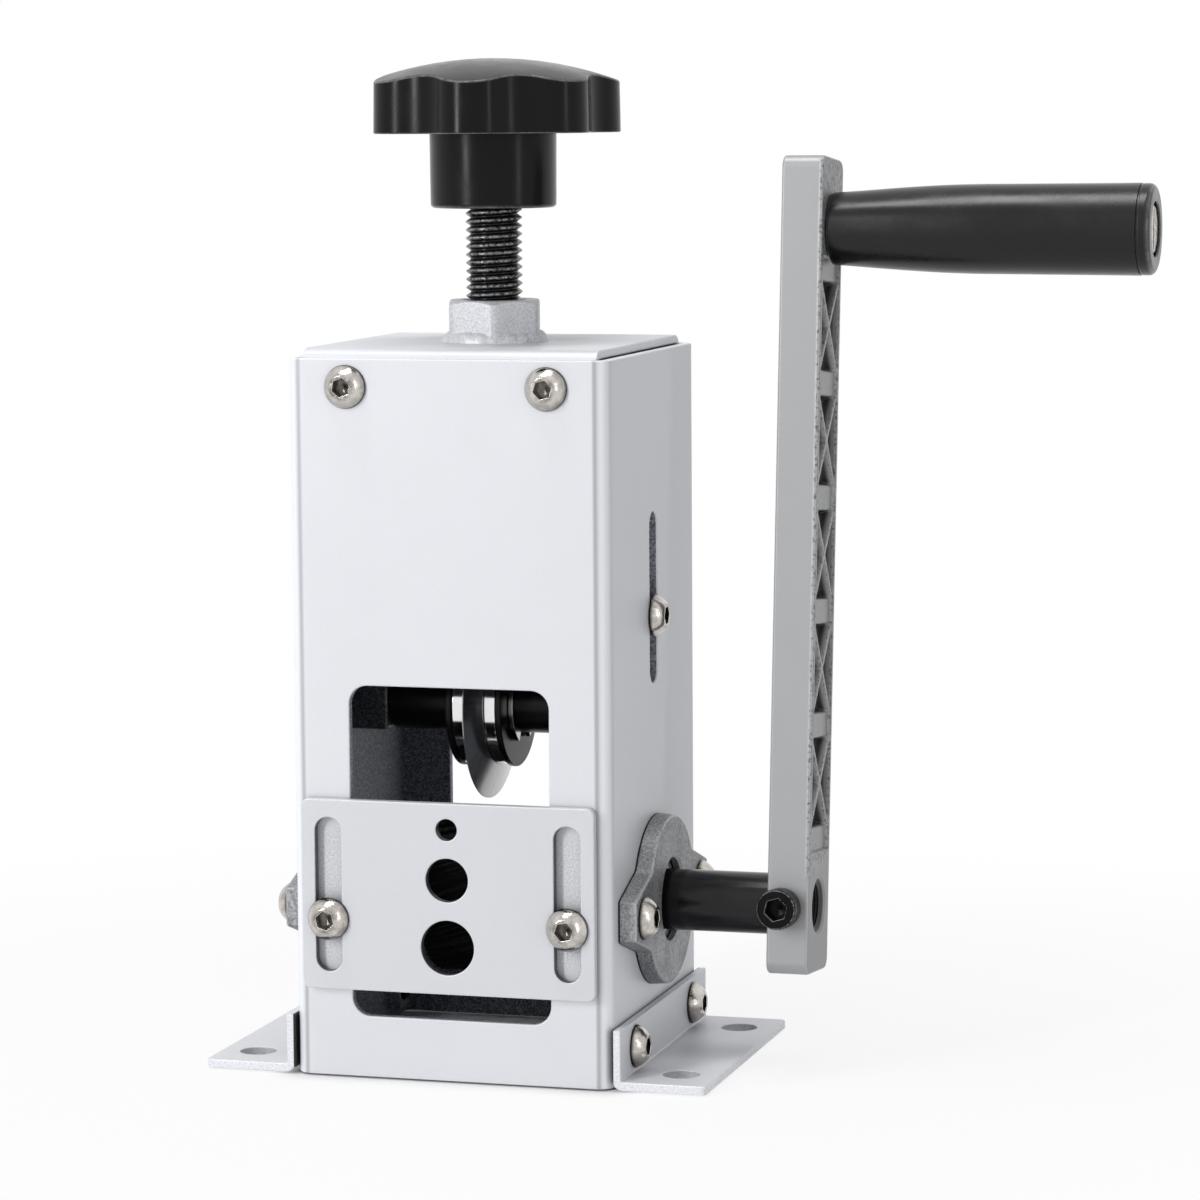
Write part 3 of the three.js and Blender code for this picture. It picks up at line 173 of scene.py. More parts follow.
# Carrier, blade and adjusting screw
CARRIER_HALF = 36.9
CARRIER_INNER = 26.3
CARRIER_LOW = 80.2
CARRIER_ROOF = 118.5
CARRIER_TOP = 132.0
CARRIER_HALF_DEPTH = 8.0
CARRIER_EDGE = 0.7
GRUB_RADIUS = 2.0
CARRIER_SCREW_HEIGHT = 109.6
AXLE_HEIGHT = 87.2
AXLE_RADIUS = 7.5
AXLE_END = 5.0
AXLE_BORE = AXLE_RADIUS + FIT
CLIP_MOUTH = math.radians(50)
BLADE_MIDDLE = -1.6
BLADE_RADIUS = 24.0
BLADE_LAND = 15.6
BLADE_THICK = 5.2
BLADE_RIM = 0.12
BUSH_RADIUS = 10.0
BUSH_BORE = BUSH_RADIUS + FIT
RING_RADIUS = 15.6
RING_WIDTH = 3.0
WASHER_RADIUS = 16.0
WASHER_THICK = 1.4
CLIP_THICK = 1.2
AXLE_CLIP = (6.9, 10.2)
ADJUST_BOTTOM = 115.2
NECK_RADIUS = 5.0
NECK_WASHER = (5.1, 7.2)
NECK_WASHER_HEIGHTS = (117.4, 118.4)
NECK_CLIP_HEIGHTS = (116.3, 117.3)
NECK_CLIP = (4.4, 6.6)
KNOB_BOTTOM = 208.8
RIM_BOTTOM = 226.9
RIM_HEIGHT = 12.4
KNOB_RADIUS = 31.2
WAIST_RADIUS = 26.8
LOBE_RADIUS = 9.3
LOBES = 7
CROWN = 5.7
KNOB_TURN = math.radians(-136)
HUB_RADIUS = 15.5
HUB_BORE = 7.2
KNOB_DRAFT = 0.2
KNOB_FOOT = 0.35

# Crank, about the shaft, with the arm standing up
LEAN = math.radians(5.4)
SHAFT_RADIUS = 7.5
SHAFT_BORE = SHAFT_RADIUS + FIT
SHAFT_CHAMFER = 0.6
SHAFT_DRILL = (1.4, 1.2)
SHAFT_LEFT = -43.9
SHAFT_RIGHT = 77.1
ROLLER_RADIUS = 20.0
ROLLER_HALF = 15.0
ROLLER_MOUTH = 9.2
ROLLER_CHAMFER = 1.2
SPACER_WALL = 2.2
KEY_LENGTH = 24.0
KEY_SIDE = 5.0
KEY_HEIGHTS = (4.5, 9.5)
ARM_INNER = 70.9
ARM_OUTER = 81.2
ARM_HALF = 10.85
ARM_THROW = 164.5
ARM_TAIL = 16.2
ARM_HEAD = 17.2
ARM_CORNER = 3.0
ARM_SEAT = 77.2
ARM_MOUTH = 7.0
ARM_HOLE = 6.0
BOLT_BORE = 4.1
CHANNEL_START = 13.2
CHANNEL_LENGTH = 144.5
CHANNEL_HALF = 9.05
CHANNEL_DEPTH = 3.0
CELLS = 5
PAD_LENGTH = 6.0
PAD_DROP = 0.9
RIB_DROP = 0.3
CLAMP_X = 74.5
CLAMP_RADIUS = 5.0
CLAMP_HEIGHT = 6.0
CLAMP_SHANK = 2.9
CLAMP_TEETH = 60
CLAMP_TOOTH = 0.13
CLAMP_KEY = 5.0
GRIP_START = 81.5
GRIP_END = 160.1
GRIP_ROOT = 8.8
GRIP_BELLY = 10.8
GRIP_TIP = 11.05
GRIP_BORE = 4.3
GRIP_GROOVE = GRIP_END - 3.4
GRIP_LIP = 0.6
GRIP_POCKET = (6.6, 4.3)
GRIP_HEAD = (6.0, 3.5)
BOLT_RADIUS = 4.0
BOLT_SLOT = (1.6, 9.4, 1.4)

# Colours that no user changes, as linear values
# Painted shade: the thin gaps where pieces meet the tube (the first two) and the bottoms of hollows (the next
# four)
GAP_SHADE_COLOUR = (0.002, 0.002, 0.0025)
CAST_GAP_SHADE_COLOUR = (0.002, 0.002, 0.002)
PAINT_HOLLOW_SHADE = (0.01, 0.01, 0.011)
ARM_HOLLOW_SHADE = (0.012, 0.012, 0.013)
NICKEL_HOLLOW_SHADE = (0.012, 0.01, 0.008)
OXIDE_HOLLOW_SHADE = (0.001, 0.001, 0.001)
# Steel showing on edges: partly abrasion, partly a painted highlight
BARE_STEEL_AND_HIGHLIGHT = (0.4, 0.4, 0.41)
BLASTED_TINT = (0.94, 1.0, 1.12)
# Pale plastic on edges: partly abrasion, partly a painted highlight
PLASTIC_EDGE_WEAR_AND_HIGHLIGHT = (0.3, 0.305, 0.32)
RUBBER = ((0.008, 0.008, 0.008), (0.02, 0.02, 0.021))
WHITE = (1.0, 1.0, 1.0, 1.0)

# Studio, in metres and watts: each light's place, its width and height, and its power
LIGHTS = {
    "key_light": ((-0.95, -1.38, 0.7), (0.22, 1.2), 15.4),
    "side_light": ((1.35, -0.68, 0.45), (0.16, 1.1), 2.1),
    "top_light": ((-0.14, -0.1, 1.5), (0.34, 0.85), 9.4),
}
LIGHT_TARGET = (-0.04, 0.0, 0.12)
SURROUND_STRENGTH = 0.27
FLOOR_REACH = 6.0
FLOOR_DROP = 0.0004

# Where the floor starts to glow, in millimetres, and its glow's two steps: from, to, and share of white
FLOOR_SHADED = HALF - 1.0
FLOOR_FADES = ((0.0, 9.0, 0.84), (30.0, 320.0, 0.16))

# The photograph's camera: its lens and sensor, its place from the tube's foot, and two of its axes
CAMERA_LENS = 132.97
CAMERA_SENSOR = 36.0
CAMERA_CLIP = (0.05, 50.0)
CAMERA_PLACE = (326.389, -1036.343, 235.374)
CAMERA_RIGHT = (0.96074, 0.27736, -0.00679)
CAMERA_BACK = (0.27633, -0.95443, 0.11273)


def length_property(name, description, length):
    """A length, given in millimetres."""
    return FloatProperty(name=name, description=description, default=length * MM, unit="LENGTH")


class StripperSizes(PropertyGroup):
    """Sizes that a user may change, and that only the looks use."""

    sheet_edge: length_property("Sheet edge", "Rounding of the painted sheet's edges", 0.4)
    casting_edge: length_property("Casting edge", "Rounding of the castings' edges", 0.75)
    arm_edge: length_property("Arm edge", "Rounding of the crank arm's edges", 0.7)
    thread_pitch: length_property("Thread pitch", "Rise of the adjusting screw in one turn", 2)
    thread_radius: length_property("Thread radius", "Radius over the adjusting screw's crests", 6.9)
    thread_depth: length_property("Thread depth", "Depth of the adjusting screw's thread", 1.1)
    knurl_teeth: IntProperty(
        name="Knurl teeth", description="Grooves round the feed roller", default=40, min=12
    )
    knurl_depth: length_property("Knurl depth", "Depth of the feed roller's grooves", 0.9)
    knurl_twist: FloatProperty(
        name="Knurl twist",
        description="Lean of the feed roller's grooves",
        default=math.radians(20),
        subtype="ANGLE",
    )
    rib_width: length_property("Rib width", "Width of the crank arm's crossed ribs", 1.3)
    rib_draft: length_property("Rib draft", "Width of the slope beside each rib", 0.7)
    bead_ripple: length_property("Bead ripple", "Height of the weld bead's ripples", 0.22)


def colour_property(name, description, default):
    """A colour of three values from 0 to 1."""
    return FloatVectorProperty(
        name=name, description=description, default=default, size=3, subtype="COLOR", min=0, max=1
    )


class StripperColours(PropertyGroup):
    """Colours of the finishes, as linear values."""

    enamel: colour_property("Enamel", "Silver-grey enamel of the housing", (0.712, 0.726, 0.762))
    inside: colour_property("Inside", "Black coat inside the housing", (0.228, 0.241, 0.28))
    casting: colour_property("Casting", "Blasted casting of the bearing flanges", (0.27, 0.275, 0.284))
    arm: colour_property("Arm", "Crank arm's smooth faces", (0.35, 0.353, 0.36))
    arm_rough: colour_property("Arm outside", "Crank arm's cast outer face", (0.27, 0.273, 0.28))
    oxide: colour_property("Oxide", "Black oxide on steel", (0.008, 0.0083, 0.0095))
    nickel: colour_property("Nickel", "Bright screws, slightly warm", (0.435, 0.408, 0.38))
    polished: colour_property("Polished", "Turned and polished rings", (0.8, 0.8, 0.81))
    blade: colour_property("Blade", "Flat of the blade", (0.045, 0.045, 0.049))
    bevel: colour_property("Bevel", "Ground bevel of the blade", (0.36, 0.36, 0.365))
    plastic: colour_property("Plastic", "Black moulded plastic", (0.002, 0.0021, 0.0028))
    floor: colour_property("Floor", "Pale studio floor", (0.9, 0.9, 0.9))


def sizes():
    """The scene's own sizes."""
    return bpy.context.scene.stripper_sizes


def colours():
    """The scene's own colours."""
    return bpy.context.scene.stripper_colours


# Flat lines


def unit(vectors):
    """Each vector divided by its own length."""
    return vectors / np.maximum(np.linalg.norm(vectors, axis=-1, keepdims=True), 1e-12)


def spoke(angle):
    """The flat direction (cos a, sin a) of each angle a."""
    return np.stack([np.cos(angle), np.sin(angle)], -1)


def right_of(direction):
    """Each flat direction turned a quarter turn to its right: (x, y) becomes (y, -x)."""
    return np.stack([direction[..., 1], -direction[..., 0]], -1)


class Line:
    """Points of a flat line, the way each one faces, and the way each one moves as the line grows by one."""

    def __init__(self, points, facing, growth=None):
        self.points, self.facing = points, facing
        self.growth = facing if growth is None else growth

    def grown(self, by):
        """The line's points, each moved by its own growth times a length."""
        return self.points + by * self.growth


def path(corners, radius=0.0, closed=True, steps=6):
    """Straight runs joined by arcs. The line faces the right of its way.

    Where the line turns by an angle a with radius r, the arc's middle lies r / cos(a / 2) from the corner,
    on the inner side, and each point is the middle plus r times the facing direction, turned evenly through
    a. A corner without radius keeps both its facing directions, and grows along their mitre.
    """
    corners = np.asarray(corners, float)
    radius = np.array(np.broadcast_to(radius, len(corners)), float)
    ahead = unit(np.roll(corners, -1, 0) - corners)
    behind = np.roll(ahead, 1, 0)
    if not closed:
        behind[0], ahead[-1] = ahead[0], behind[-1]
        radius[0] = radius[-1] = 0
    cross = behind[:, 0] * ahead[:, 1] - behind[:, 1] * ahead[:, 0]
    turn = np.arctan2(cross, (behind * ahead).sum(1))
    side = np.sign(turn) * radius
    first = right_of(behind)
    start = np.arctan2(first[:, 1], first[:, 0])
    share = np.linspace(0, 1, steps + 1)
    share = np.where(radius[:, None] > 0, share, np.round(share))
    facing = spoke(start[:, None] + turn[:, None] * share)
    middle = spoke(start + turn / 2) / np.cos(turn / 2)[:, None]
    points = (corners - side[:, None] * middle)[:, None] + side[:, None, None] * facing
    growth = np.where(radius[:, None, None] > 0, facing, middle[:, None])
    return Line(points.reshape(-1, 2), facing.reshape(-1, 2), growth.reshape(-1, 2))


def curve(points, closed=False):
    """A smooth line: each point faces the right of the way from the point before to the one after."""
    points = np.asarray(points, float)
    step = np.roll(points, -1, 0) - np.roll(points, 1, 0) if closed else np.gradient(points, axis=0)
    return Line(points, right_of(unit(step)))


def chain(*lines):
    """Lines set end to end."""
    parts = ("points", "facing", "growth")
    return Line(*(np.concatenate([getattr(line, part) for line in lines]) for part in parts))


def circle(radius, centre=(0.0, 0.0), sides=48, hole=False):
    """Points r (cos a, sin a) about a centre. A hole's circle runs the other way and faces its middle."""
    out = spoke(np.arange(sides) * (-TURN if hole else TURN) / sides)
    return Line(np.asarray(centre) + radius * out, -out if hole else out)


def box(width, height, radius, centre=(0.0, 0.0), hole=False, steps=8):
    """A rectangle with round corners. A hole's runs the other way."""
    corners = np.array([(-1, -1), (1, -1), (1, 1), (-1, 1)]) * (width / 2, height / 2) + centre
    return path(corners[::-1] if hole else corners, radius, steps=steps)


def hexagon(flats, radius, hole=False):
    """Six corners f / (2 cos 30) from the middle, rounded by a radius."""
    corners = flats / 2 / math.cos(math.pi / 6) * spoke(np.arange(6) * TURN / 6)
    return path(corners[::-1] if hole else corners, radius, steps=4)


def side_section(low, high, low_edge, high_edge):
    """The section of a plate's side, from its lower to its upper face, with a quarter arc at each edge."""
    corners, radii = [(0, low), (0, high)], [low_edge, high_edge]
    if low_edge:
        corners, radii = [(-low_edge, low), *corners], [0, *radii]
    if high_edge:
        corners, radii = [*corners, (-high_edge, high)], [*radii, 0]
    return path(corners, radii, closed=False, steps=4)


# Shells: patches with known facing directions


def rounded_edge_share(facing):
    """1 midway on a rounded edge, 0 on the faces beside it: 1 less the facing's larger part, over 0.29."""
    return np.clip((1 - np.abs(facing).max(-1)) / 0.29, 0, 1)


def edge_marks(wear, points):
    """The two marks of a grid of points whose rows each have an edge share of their own and no depth."""
    wear = np.asarray(wear, float)[:, None]
    return np.broadcast_to(np.stack([wear, 0 * wear], -1), (*points.shape[:-1], 2))


ORDER = {"x": [2, 0, 1], "y": [0, 2, 1], "z": [0, 1, 2]}


def raised(flat, height):
    """Flat points with a third value."""
    return np.concatenate([flat, np.broadcast_to(height, flat.shape[:-1])[..., None]], -1)


def facing_of(points, toward, round_columns=True):
    """The cross product of a grid's two steps at each point, turned to the side that toward gives."""
    along = np.roll(points, -1, 1) - np.roll(points, 1, 1) if round_columns else np.gradient(points, axis=1)
    across = unit(np.cross(np.gradient(points, axis=0), along))
    return across * np.where((across * toward).sum(-1, keepdims=True) < 0, -1.0, 1.0)


class Shell:
    """Patches of one piece: points, the way each point faces, triangles, and two marks of each point.

    The first mark is the share of a rounded edge, where the finishes paint abrasion and a highlight; the
    second the depth in a hollow, where they paint shade. Both run from 0 to 1.
    """

    def __init__(self):
        self.points, self.facing, self.faces = np.zeros((0, 3)), np.zeros((0, 3)), np.zeros((0, 3), int)
        self.marks = np.zeros((0, 2))

    def patch(self, points, facing, faces, marks=(0.0, 0.0)):
        """Adds points with their facings and marks, and the triangles between them."""
        own = np.broadcast_to(marks, (*points.shape[:-1], 2)).reshape(-1, 2)
        self.marks = np.concatenate([self.marks, own])
        self.faces = np.concatenate([self.faces, np.asarray(faces, int).reshape(-1, 3) + len(self.points)])
        self.points = np.concatenate([self.points, points.reshape(-1, 3)])
        self.facing = np.concatenate([self.facing, np.broadcast_to(facing, points.shape).reshape(-1, 3)])
        return self

    def grid(self, points, facing, round_rows=False, round_columns=False, marks=(0.0, 0.0)):
        """A patch of rows and columns of points, two triangles to each cell."""
        index = np.arange(points.shape[0] * points.shape[1]).reshape(points.shape[:2])
        if round_rows:
            index = np.concatenate([index, index[:1]], 0)
        if round_columns:
            index = np.concatenate([index, index[:, :1]], 1)
        a, b, c, d = index[:-1, :-1], index[1:, :-1], index[1:, 1:], index[:-1, 1:]
        return self.patch(points, facing, np.stack([a, b, c, a, c, d], -1), marks)

    def walls(self, line, section, axis="z"):
        """A line carried along a section of (growth, height): it grows by one and rises by the other."""
        grown = line.points[None] + section.points[:, None, :1] * line.growth[None]
        points = raised(grown, section.points[:, None, 1])
        facing = raised(section.facing[:, None, :1] * line.facing[None], section.facing[:, None, 1])
        marks, order = edge_marks(rounded_edge_share(section.facing), points), ORDER[axis]
        return self.grid(points[..., order], facing[..., order], round_columns=True, marks=marks)

    def cap(self, loops, height, way, axis="z"):
        """A flat face inside the first loop and outside the others."""
        loops = [loop[np.any(np.abs(loop - np.roll(loop, 1, 0)) > 1e-6, axis=1)] for loop in loops]
        flat = raised(np.concatenate(loops), height)
        faces = tessellate_polygon([[Vector((u, v, 0)) for u, v in loop] for loop in loops])
        return self.patch(flat[:, ORDER[axis]], np.array([0, 0, way])[ORDER[axis]], faces)

    def add(self, other, turn=np.eye(3), move=(0, 0, 0)):
        """Another shell's patches, turned by a matrix and moved."""
        return self.patch(other.points @ turn.T + move, other.facing @ turn.T, other.faces, other.marks)


def plate(loops, low, high, axis="z", edge=0.0, low_edge=None):
    """A flat piece between two heights, bounded by its first loop, with the others as holes."""
    low_edge = edge if low_edge is None else low_edge
    shell = Shell()
    for line in loops:
        shell.walls(line, side_section(low, high, low_edge, edge), axis)
    shell.cap([line.grown(-edge) for line in loops], high, 1, axis)
    return shell.cap([line.grown(-low_edge) for line in loops], low, -1, axis)


def turned(section, axis="z", centre=(0, 0, 0), sides=64, closed=False):
    """A section of (radius, place) turned about an axis: a point is (r cos a, r sin a, place)."""
    out = spoke(np.arange(sides) * TURN / sides)[None]
    points = raised(section.points[:, None, :1] * out, section.points[:, None, 1])
    facing = raised(section.facing[:, None, :1] * out, section.facing[:, None, 1])
    marks, order = edge_marks(rounded_edge_share(section.facing), points), ORDER[axis]
    return Shell().grid(points[..., order] + centre, facing[..., order], closed, True, marks)


def ring(inner, outer, low, high, edge=0.3, **place):
    """A turned ring of rectangular section with rounded edges."""
    corners = [(inner, low), (outer, low), (outer, high), (inner, high)]
    return turned(path(corners, edge, steps=3), closed=True, **place)


def mirrored(shell):
    """The same shell on the other side of the tube."""
    return Shell().add(shell, np.diag([-1.0, 1.0, 1.0]))


def on_crank(shell):
    """A shell made about the shaft, leaned back with the arm and lifted to the shaft's height."""
    cos, sin = math.cos(LEAN), math.sin(LEAN)
    return Shell().add(shell, np.array([[1, 0, 0], [0, cos, sin], [0, -sin, cos]]), (0, 0, SHAFT_HEIGHT))


def seated(shell, at, facing, spin=0.0):
    """A shell made upright on the origin, set on a seat that faces a level direction."""
    normal = np.asarray(facing, float)
    across = np.cross((0, 0, 1), normal)
    cos, sin = math.cos(spin), math.sin(spin)
    own = np.array([[cos, -sin, 0], [sin, cos, 0], [0, 0, 1]])
    return Shell().add(shell, np.stack([across, (0, 0, 1), normal], -1) @ own, at)


def welded(shell):
    """One point for all the points that coincide.

    Triangles without area are dropped, and each of the others is turned over where its cross product points
    away from the mean of its corners' facing directions.
    """
    keys = np.round(shell.points * 1e4).astype(np.int64)
    _, first, same = np.unique(keys, axis=0, return_index=True, return_inverse=True)
    points, same = shell.points[first], same.reshape(-1)
    faces, facing = same[shell.faces], shell.facing[shell.faces]
    corner = points[faces]
    area = np.cross(corner[:, 1] - corner[:, 0], corner[:, 2] - corner[:, 0])
    flip = (area * facing.sum(1)).sum(1) < 0
    faces[flip], facing[flip] = faces[flip][:, ::-1], facing[flip][:, ::-1]
    keep = np.linalg.norm(area, axis=1) > 1e-9
    return points, faces[keep], unit(facing[keep]), shell.marks[first]


def make(name, shell, material, *nodes):
    """A piece from a shell: it stands for its nodes and rides on their body."""
    points, faces, facing, marks = welded(shell)
    mesh = bpy.data.meshes.new(name)
    mesh.vertices.add(len(points))
    mesh.vertices.foreach_set("co", ((points + FOOT) * MM).ravel())
    mesh.loops.add(faces.size)
    mesh.loops.foreach_set("vertex_index", faces.ravel())
    mesh.polygons.add(len(faces))
    mesh.polygons.foreach_set("loop_start", np.arange(len(faces)) * 3)
    mesh.update(calc_edges=True)
    mesh.polygons.foreach_set("use_smooth", np.ones(len(faces), bool))
    if mesh.validate():
        raise RuntimeError(f"{name}: the mesh had faces that had to be mended")
    mesh.normals_split_custom_set(facing.reshape(-1, 3))
    # The marks become attributes: the edge share, for abrasion and painted highlight, and the hollow depth,
    # for painted shade
    for mark, values in zip(("wear", "depth"), marks.T):
        mesh.attributes.new(mark, "FLOAT", "POINT").data.foreach_set("value", values.astype(np.float32))
    mesh.materials.append(material)
    piece = bpy.data.objects.new(name, mesh)
    bpy.context.scene.collection.objects.link(piece)
    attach(piece, frame["nodes"][nodes[0]]["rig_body"])
    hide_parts(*nodes)


# Finishes


class Socket:
    """A socket of a finish. Sums with numbers and other sockets add Math nodes."""

    def __init__(self, finish, socket):
        self.finish, self.socket = finish, socket

    def math(self, operation, *others, first=None):
        """A Math node on this socket and others. The first of its values may be given instead."""
        values = {i: value for i, value in enumerate((self if first is None else first, *others))}
        return self.finish.node("ShaderNodeMath", {"operation": operation}, values)

    def __add__(self, other):
        return self.math("ADD", other)

    def __radd__(self, other):
        return self.math("ADD", self, first=other)

    def __sub__(self, other):
        return self.math("SUBTRACT", other)

    def __rsub__(self, other):
        return self.math("SUBTRACT", self, first=other)

    def __mul__(self, other):
        return self.math("MULTIPLY", other)

    def __rmul__(self, other):
        return self.math("MULTIPLY", self, first=other)

    def __lt__(self, other):
        return self.math("LESS_THAN", other)

    def __abs__(self):
        return self.math("ABSOLUTE")


class Finish:
    """One material and the nodes in it."""

    def __init__(self, name):
        self.material = bpy.data.materials.new(name)
        self.material.use_nodes = True
        self.tree = self.material.node_tree
        self.tree.nodes.clear()

    def node(self, kind, settings=None, values=None, out=0):
        """Adds a node: its settings, then its sockets' values or links. Gives the outputs that out names."""
        added = self.tree.nodes.new(kind)
        for key, value in (settings or {}).items():
            if key == "stops":
                for element, (place, tone) in zip(added.color_ramp.elements, value):
                    element.position, element.color = place, tone
            else:
                setattr(added, key, value)
        for key, value in (values or {}).items():
            if isinstance(value, Socket):
                self.tree.links.new(value.socket, added.inputs[key])
            else:
                added.inputs[key].default_value = value
        if isinstance(out, tuple):
            return [Socket(self, added.outputs[key]) for key in out]
        return Socket(self, added.outputs[out]) if len(added.outputs) else None

    def place(self, centre=(0, 0, 0), stretch=(1, 1, 1)):
        """Object coordinates in millimetres from a point of the object, stretched along each axis."""
        middle = [-(c + f) * s for c, f, s in zip(centre, FOOT, stretch)]
        where = self.node("ShaderNodeTexCoord", out="Object")
        scale = [s / MM for s in stretch]
        return self.node("ShaderNodeMapping", None, {"Vector": where, "Location": middle, "Scale": scale})

    def noise(self, where, scale, detail=2.0, rough=0.5):
        """Noise from 0 to 1, with scale in cycles per millimetre."""
        values = {"Vector": where, "Scale": scale, "Detail": detail, "Roughness": rough}
        return self.node("ShaderNodeTexNoise", None, values)

    def cells(self, where, scale):
        """Distance to the nearest of points strewn at scale points per millimetre."""
        return self.node("ShaderNodeTexVoronoi", None, {"Vector": where, "Scale": scale})

    def ramp(self, value, low, high):
        """0 below low, 1 above high, and a smooth step between them."""
        settings = {"interpolation_type": "SMOOTHSTEP"}
        return self.node("ShaderNodeMapRange", settings, {"Value": value, "From Min": low, "From Max": high})

    def mix(self, share, one, other):
        """One colour where share is 0, the other where it is 1."""
        values = {0: share, 6: tone(one), 7: tone(other)}
        return self.node("ShaderNodeMix", {"data_type": "RGBA"}, values, out=2)

    def parts(self, where):
        """The three values of a place."""
        return self.node("ShaderNodeSeparateXYZ", None, {0: where}, (0, 1, 2))

    def mark(self, name):
        """One of the two marks that the pieces' points carry."""
        return self.node("ShaderNodeAttribute", {"attribute_name": name}, out="Fac")

    def around(self, centre):
        """Distance from the object's x axis moved to a point, in millimetres."""
        flat = self.place(centre, (0.0, 1.0, 1.0))
        return self.node("ShaderNodeVectorMath", {"operation": "LENGTH"}, {0: flat}, out="Value")

    def beyond(self, sides, reach):
        """How far the first of two values lies beyond a reach, and the root of both distances' squares."""
        across = [abs(side) - reach for side in sides]
        past, over = (side.math("MAXIMUM", 0.0) for side in across)
        return past, (past * past + over * over).math("SQRT")

    def bump(self, height, depth, strength=1.0):
        """A bump of so many millimetres."""
        values = {"Height": height, "Distance": depth * MM, "Strength": strength}
        return self.node("ShaderNodeBump", None, values)

    def surface(self, gloss=0.5, **values):
        """The shader, with its sockets named by words joined with underscores."""
        named = {key.replace("_", " ").title(): value for key, value in values.items()}
        shader = self.node("ShaderNodeBsdfPrincipled", None, {"Specular IOR Level": gloss, **named})
        self.node("ShaderNodeOutputMaterial", None, {"Surface": shader})
        return self.material


def tone(colour):
    """A colour as four values; a socket stays as it is."""
    return colour if isinstance(colour, Socket) else (*colour, 1.0)


def shade(colour, by):
    """A colour made lighter or darker by a factor."""
    return tuple(value * by for value in colour)


def specks(finish, where, colour, base, share, size=2.4):
    """Bright and dark specks of a blasted or broken surface, over a share of it."""
    grain = finish.noise(where, size, 2, 0.6)
    colour = finish.mix(finish.ramp(grain, 0.5, 0.66) * share, colour, shade(base, 1.5))
    return finish.mix(finish.ramp(grain, 0.48, 0.34) * share, colour, shade(base, 0.5))


def enamel(name, two_sided=False, dim=1.0, coarse=0.0, gap_shade=None):
    """Silver enamel: small dark flakes, a fine hammered grain and slow clouding; rough, speckled cut edges.

    A two-sided coat is the tube's: black within its wall, with a band of painted shade and then a band of
    painted highlight across the bends, and painted shade with coarser specks behind the guide plate's slots.
    Every coat is lightened along its rounded edges, partly as abrasion and partly as a painted highlight. A
    gap shade is a thin painted shadow where a piece meets the tube: an axis, and the distance up to which it
    reaches.
    """
    finish = Finish(name)
    where = finish.place()
    x, y, z = finish.parts(where)
    grain = finish.noise(where, 1.9, 3, 0.6)
    flakes = finish.cells(where, 2.6)
    cloud = finish.noise(where, 0.035, 3, 0.55)
    base = shade(colours().enamel, dim)
    colour = finish.mix(cloud, shade(base, 0.965), shade(base, 1.03))
    colour = finish.mix(finish.ramp(grain, 0.3, 0.75) * 0.22, colour, shade(base, 1.12))
    colour = finish.mix(finish.ramp(flakes, 0.42, 0.12) * 0.08, colour, shade(base, 0.72))
    wear = finish.mark("wear")
    share = wear * 0.3 + coarse
    rough = 0.36 + 0.16 * grain
    metal = 0.1 + 0.06 * grain
    if two_sided:
        past, far = finish.beyond((x, y), TUBE_FLAT)
        hidden = (far < 3.6) * (z < TUBE_HEIGHT - 0.3)
        # Painted shade in a narrow band where each corner starts to bend, then a painted highlight band
        # further round
        bend = finish.ramp(past, 0.0, 0.7) * finish.ramp(past, 1.7, 0.9)
        rubbed_and_painted_highlight = finish.ramp(past, 1.2, 2.4) * finish.ramp(past, 4.0, 3.4)
        colour = finish.mix(bend * 0.8, colour, shade(base, 0.55))
        colour = finish.mix(rubbed_and_painted_highlight * 0.9, colour, shade(base, 1.28))
        # Painted shade, with coarser specks, on the tube's face behind the guide plate's slots
        slot = (abs(abs(x) - GUIDE_SLOT_OUT) < GUIDE_SLOT[0] / 2 + 0.4) * (y < -HALF + 0.5)
        ahead = abs(z - GUIDE_BOTTOM - GUIDE_SIZE[1] / 2)
        slot = slot * finish.ramp(ahead, GUIDE_SLOT[1] / 2 + 1.0, GUIDE_SLOT[1] / 2 - 5.0)
        share = share + slot * 0.3
        colour = finish.mix(slot * 0.45, colour, shade(base, 0.78))
    # Lightened along rounded edges: partly abrasion of the enamel, partly a painted highlight
    colour = finish.mix(wear * 0.5, colour, shade(base, 1.2))
    colour = specks(finish, where, colour, base, share, 2.1)
    if two_sided:
        soot = finish.noise(where, 1.9, 3, 0.7)
        dust = finish.ramp(soot, 0.42, 0.62)
        black = finish.mix(dust, shade(colours().inside, 0.7), shade(colours().inside, 2.1))
        colour = finish.mix(hidden, colour, black)
        rough = rough + hidden * 0.2
        metal = metal * (1 - hidden)
    # Painted shadow in the thin gap where the piece meets the tube
    if gap_shade:
        axis, reach = gap_shade
        colour = finish.mix(abs((x, y, z)[axis]) < reach, colour, GAP_SHADE_COLOUR)
    # Painted shade down the walls of holes and openings
    colour = finish.mix(finish.mark("depth") * 0.88, colour, PAINT_HOLLOW_SHADE)
    relief = 0.4 * grain + 0.3 * flakes + share * finish.noise(where, 2.1, 2, 0.6) * 3.0
    normal = finish.bump(relief, 0.035, 0.55)
    coat = {"coat_weight": 0.12, "coat_roughness": 0.28}
    return finish.surface(base_color=colour, roughness=rough, metallic=metal, normal=normal, **coat)


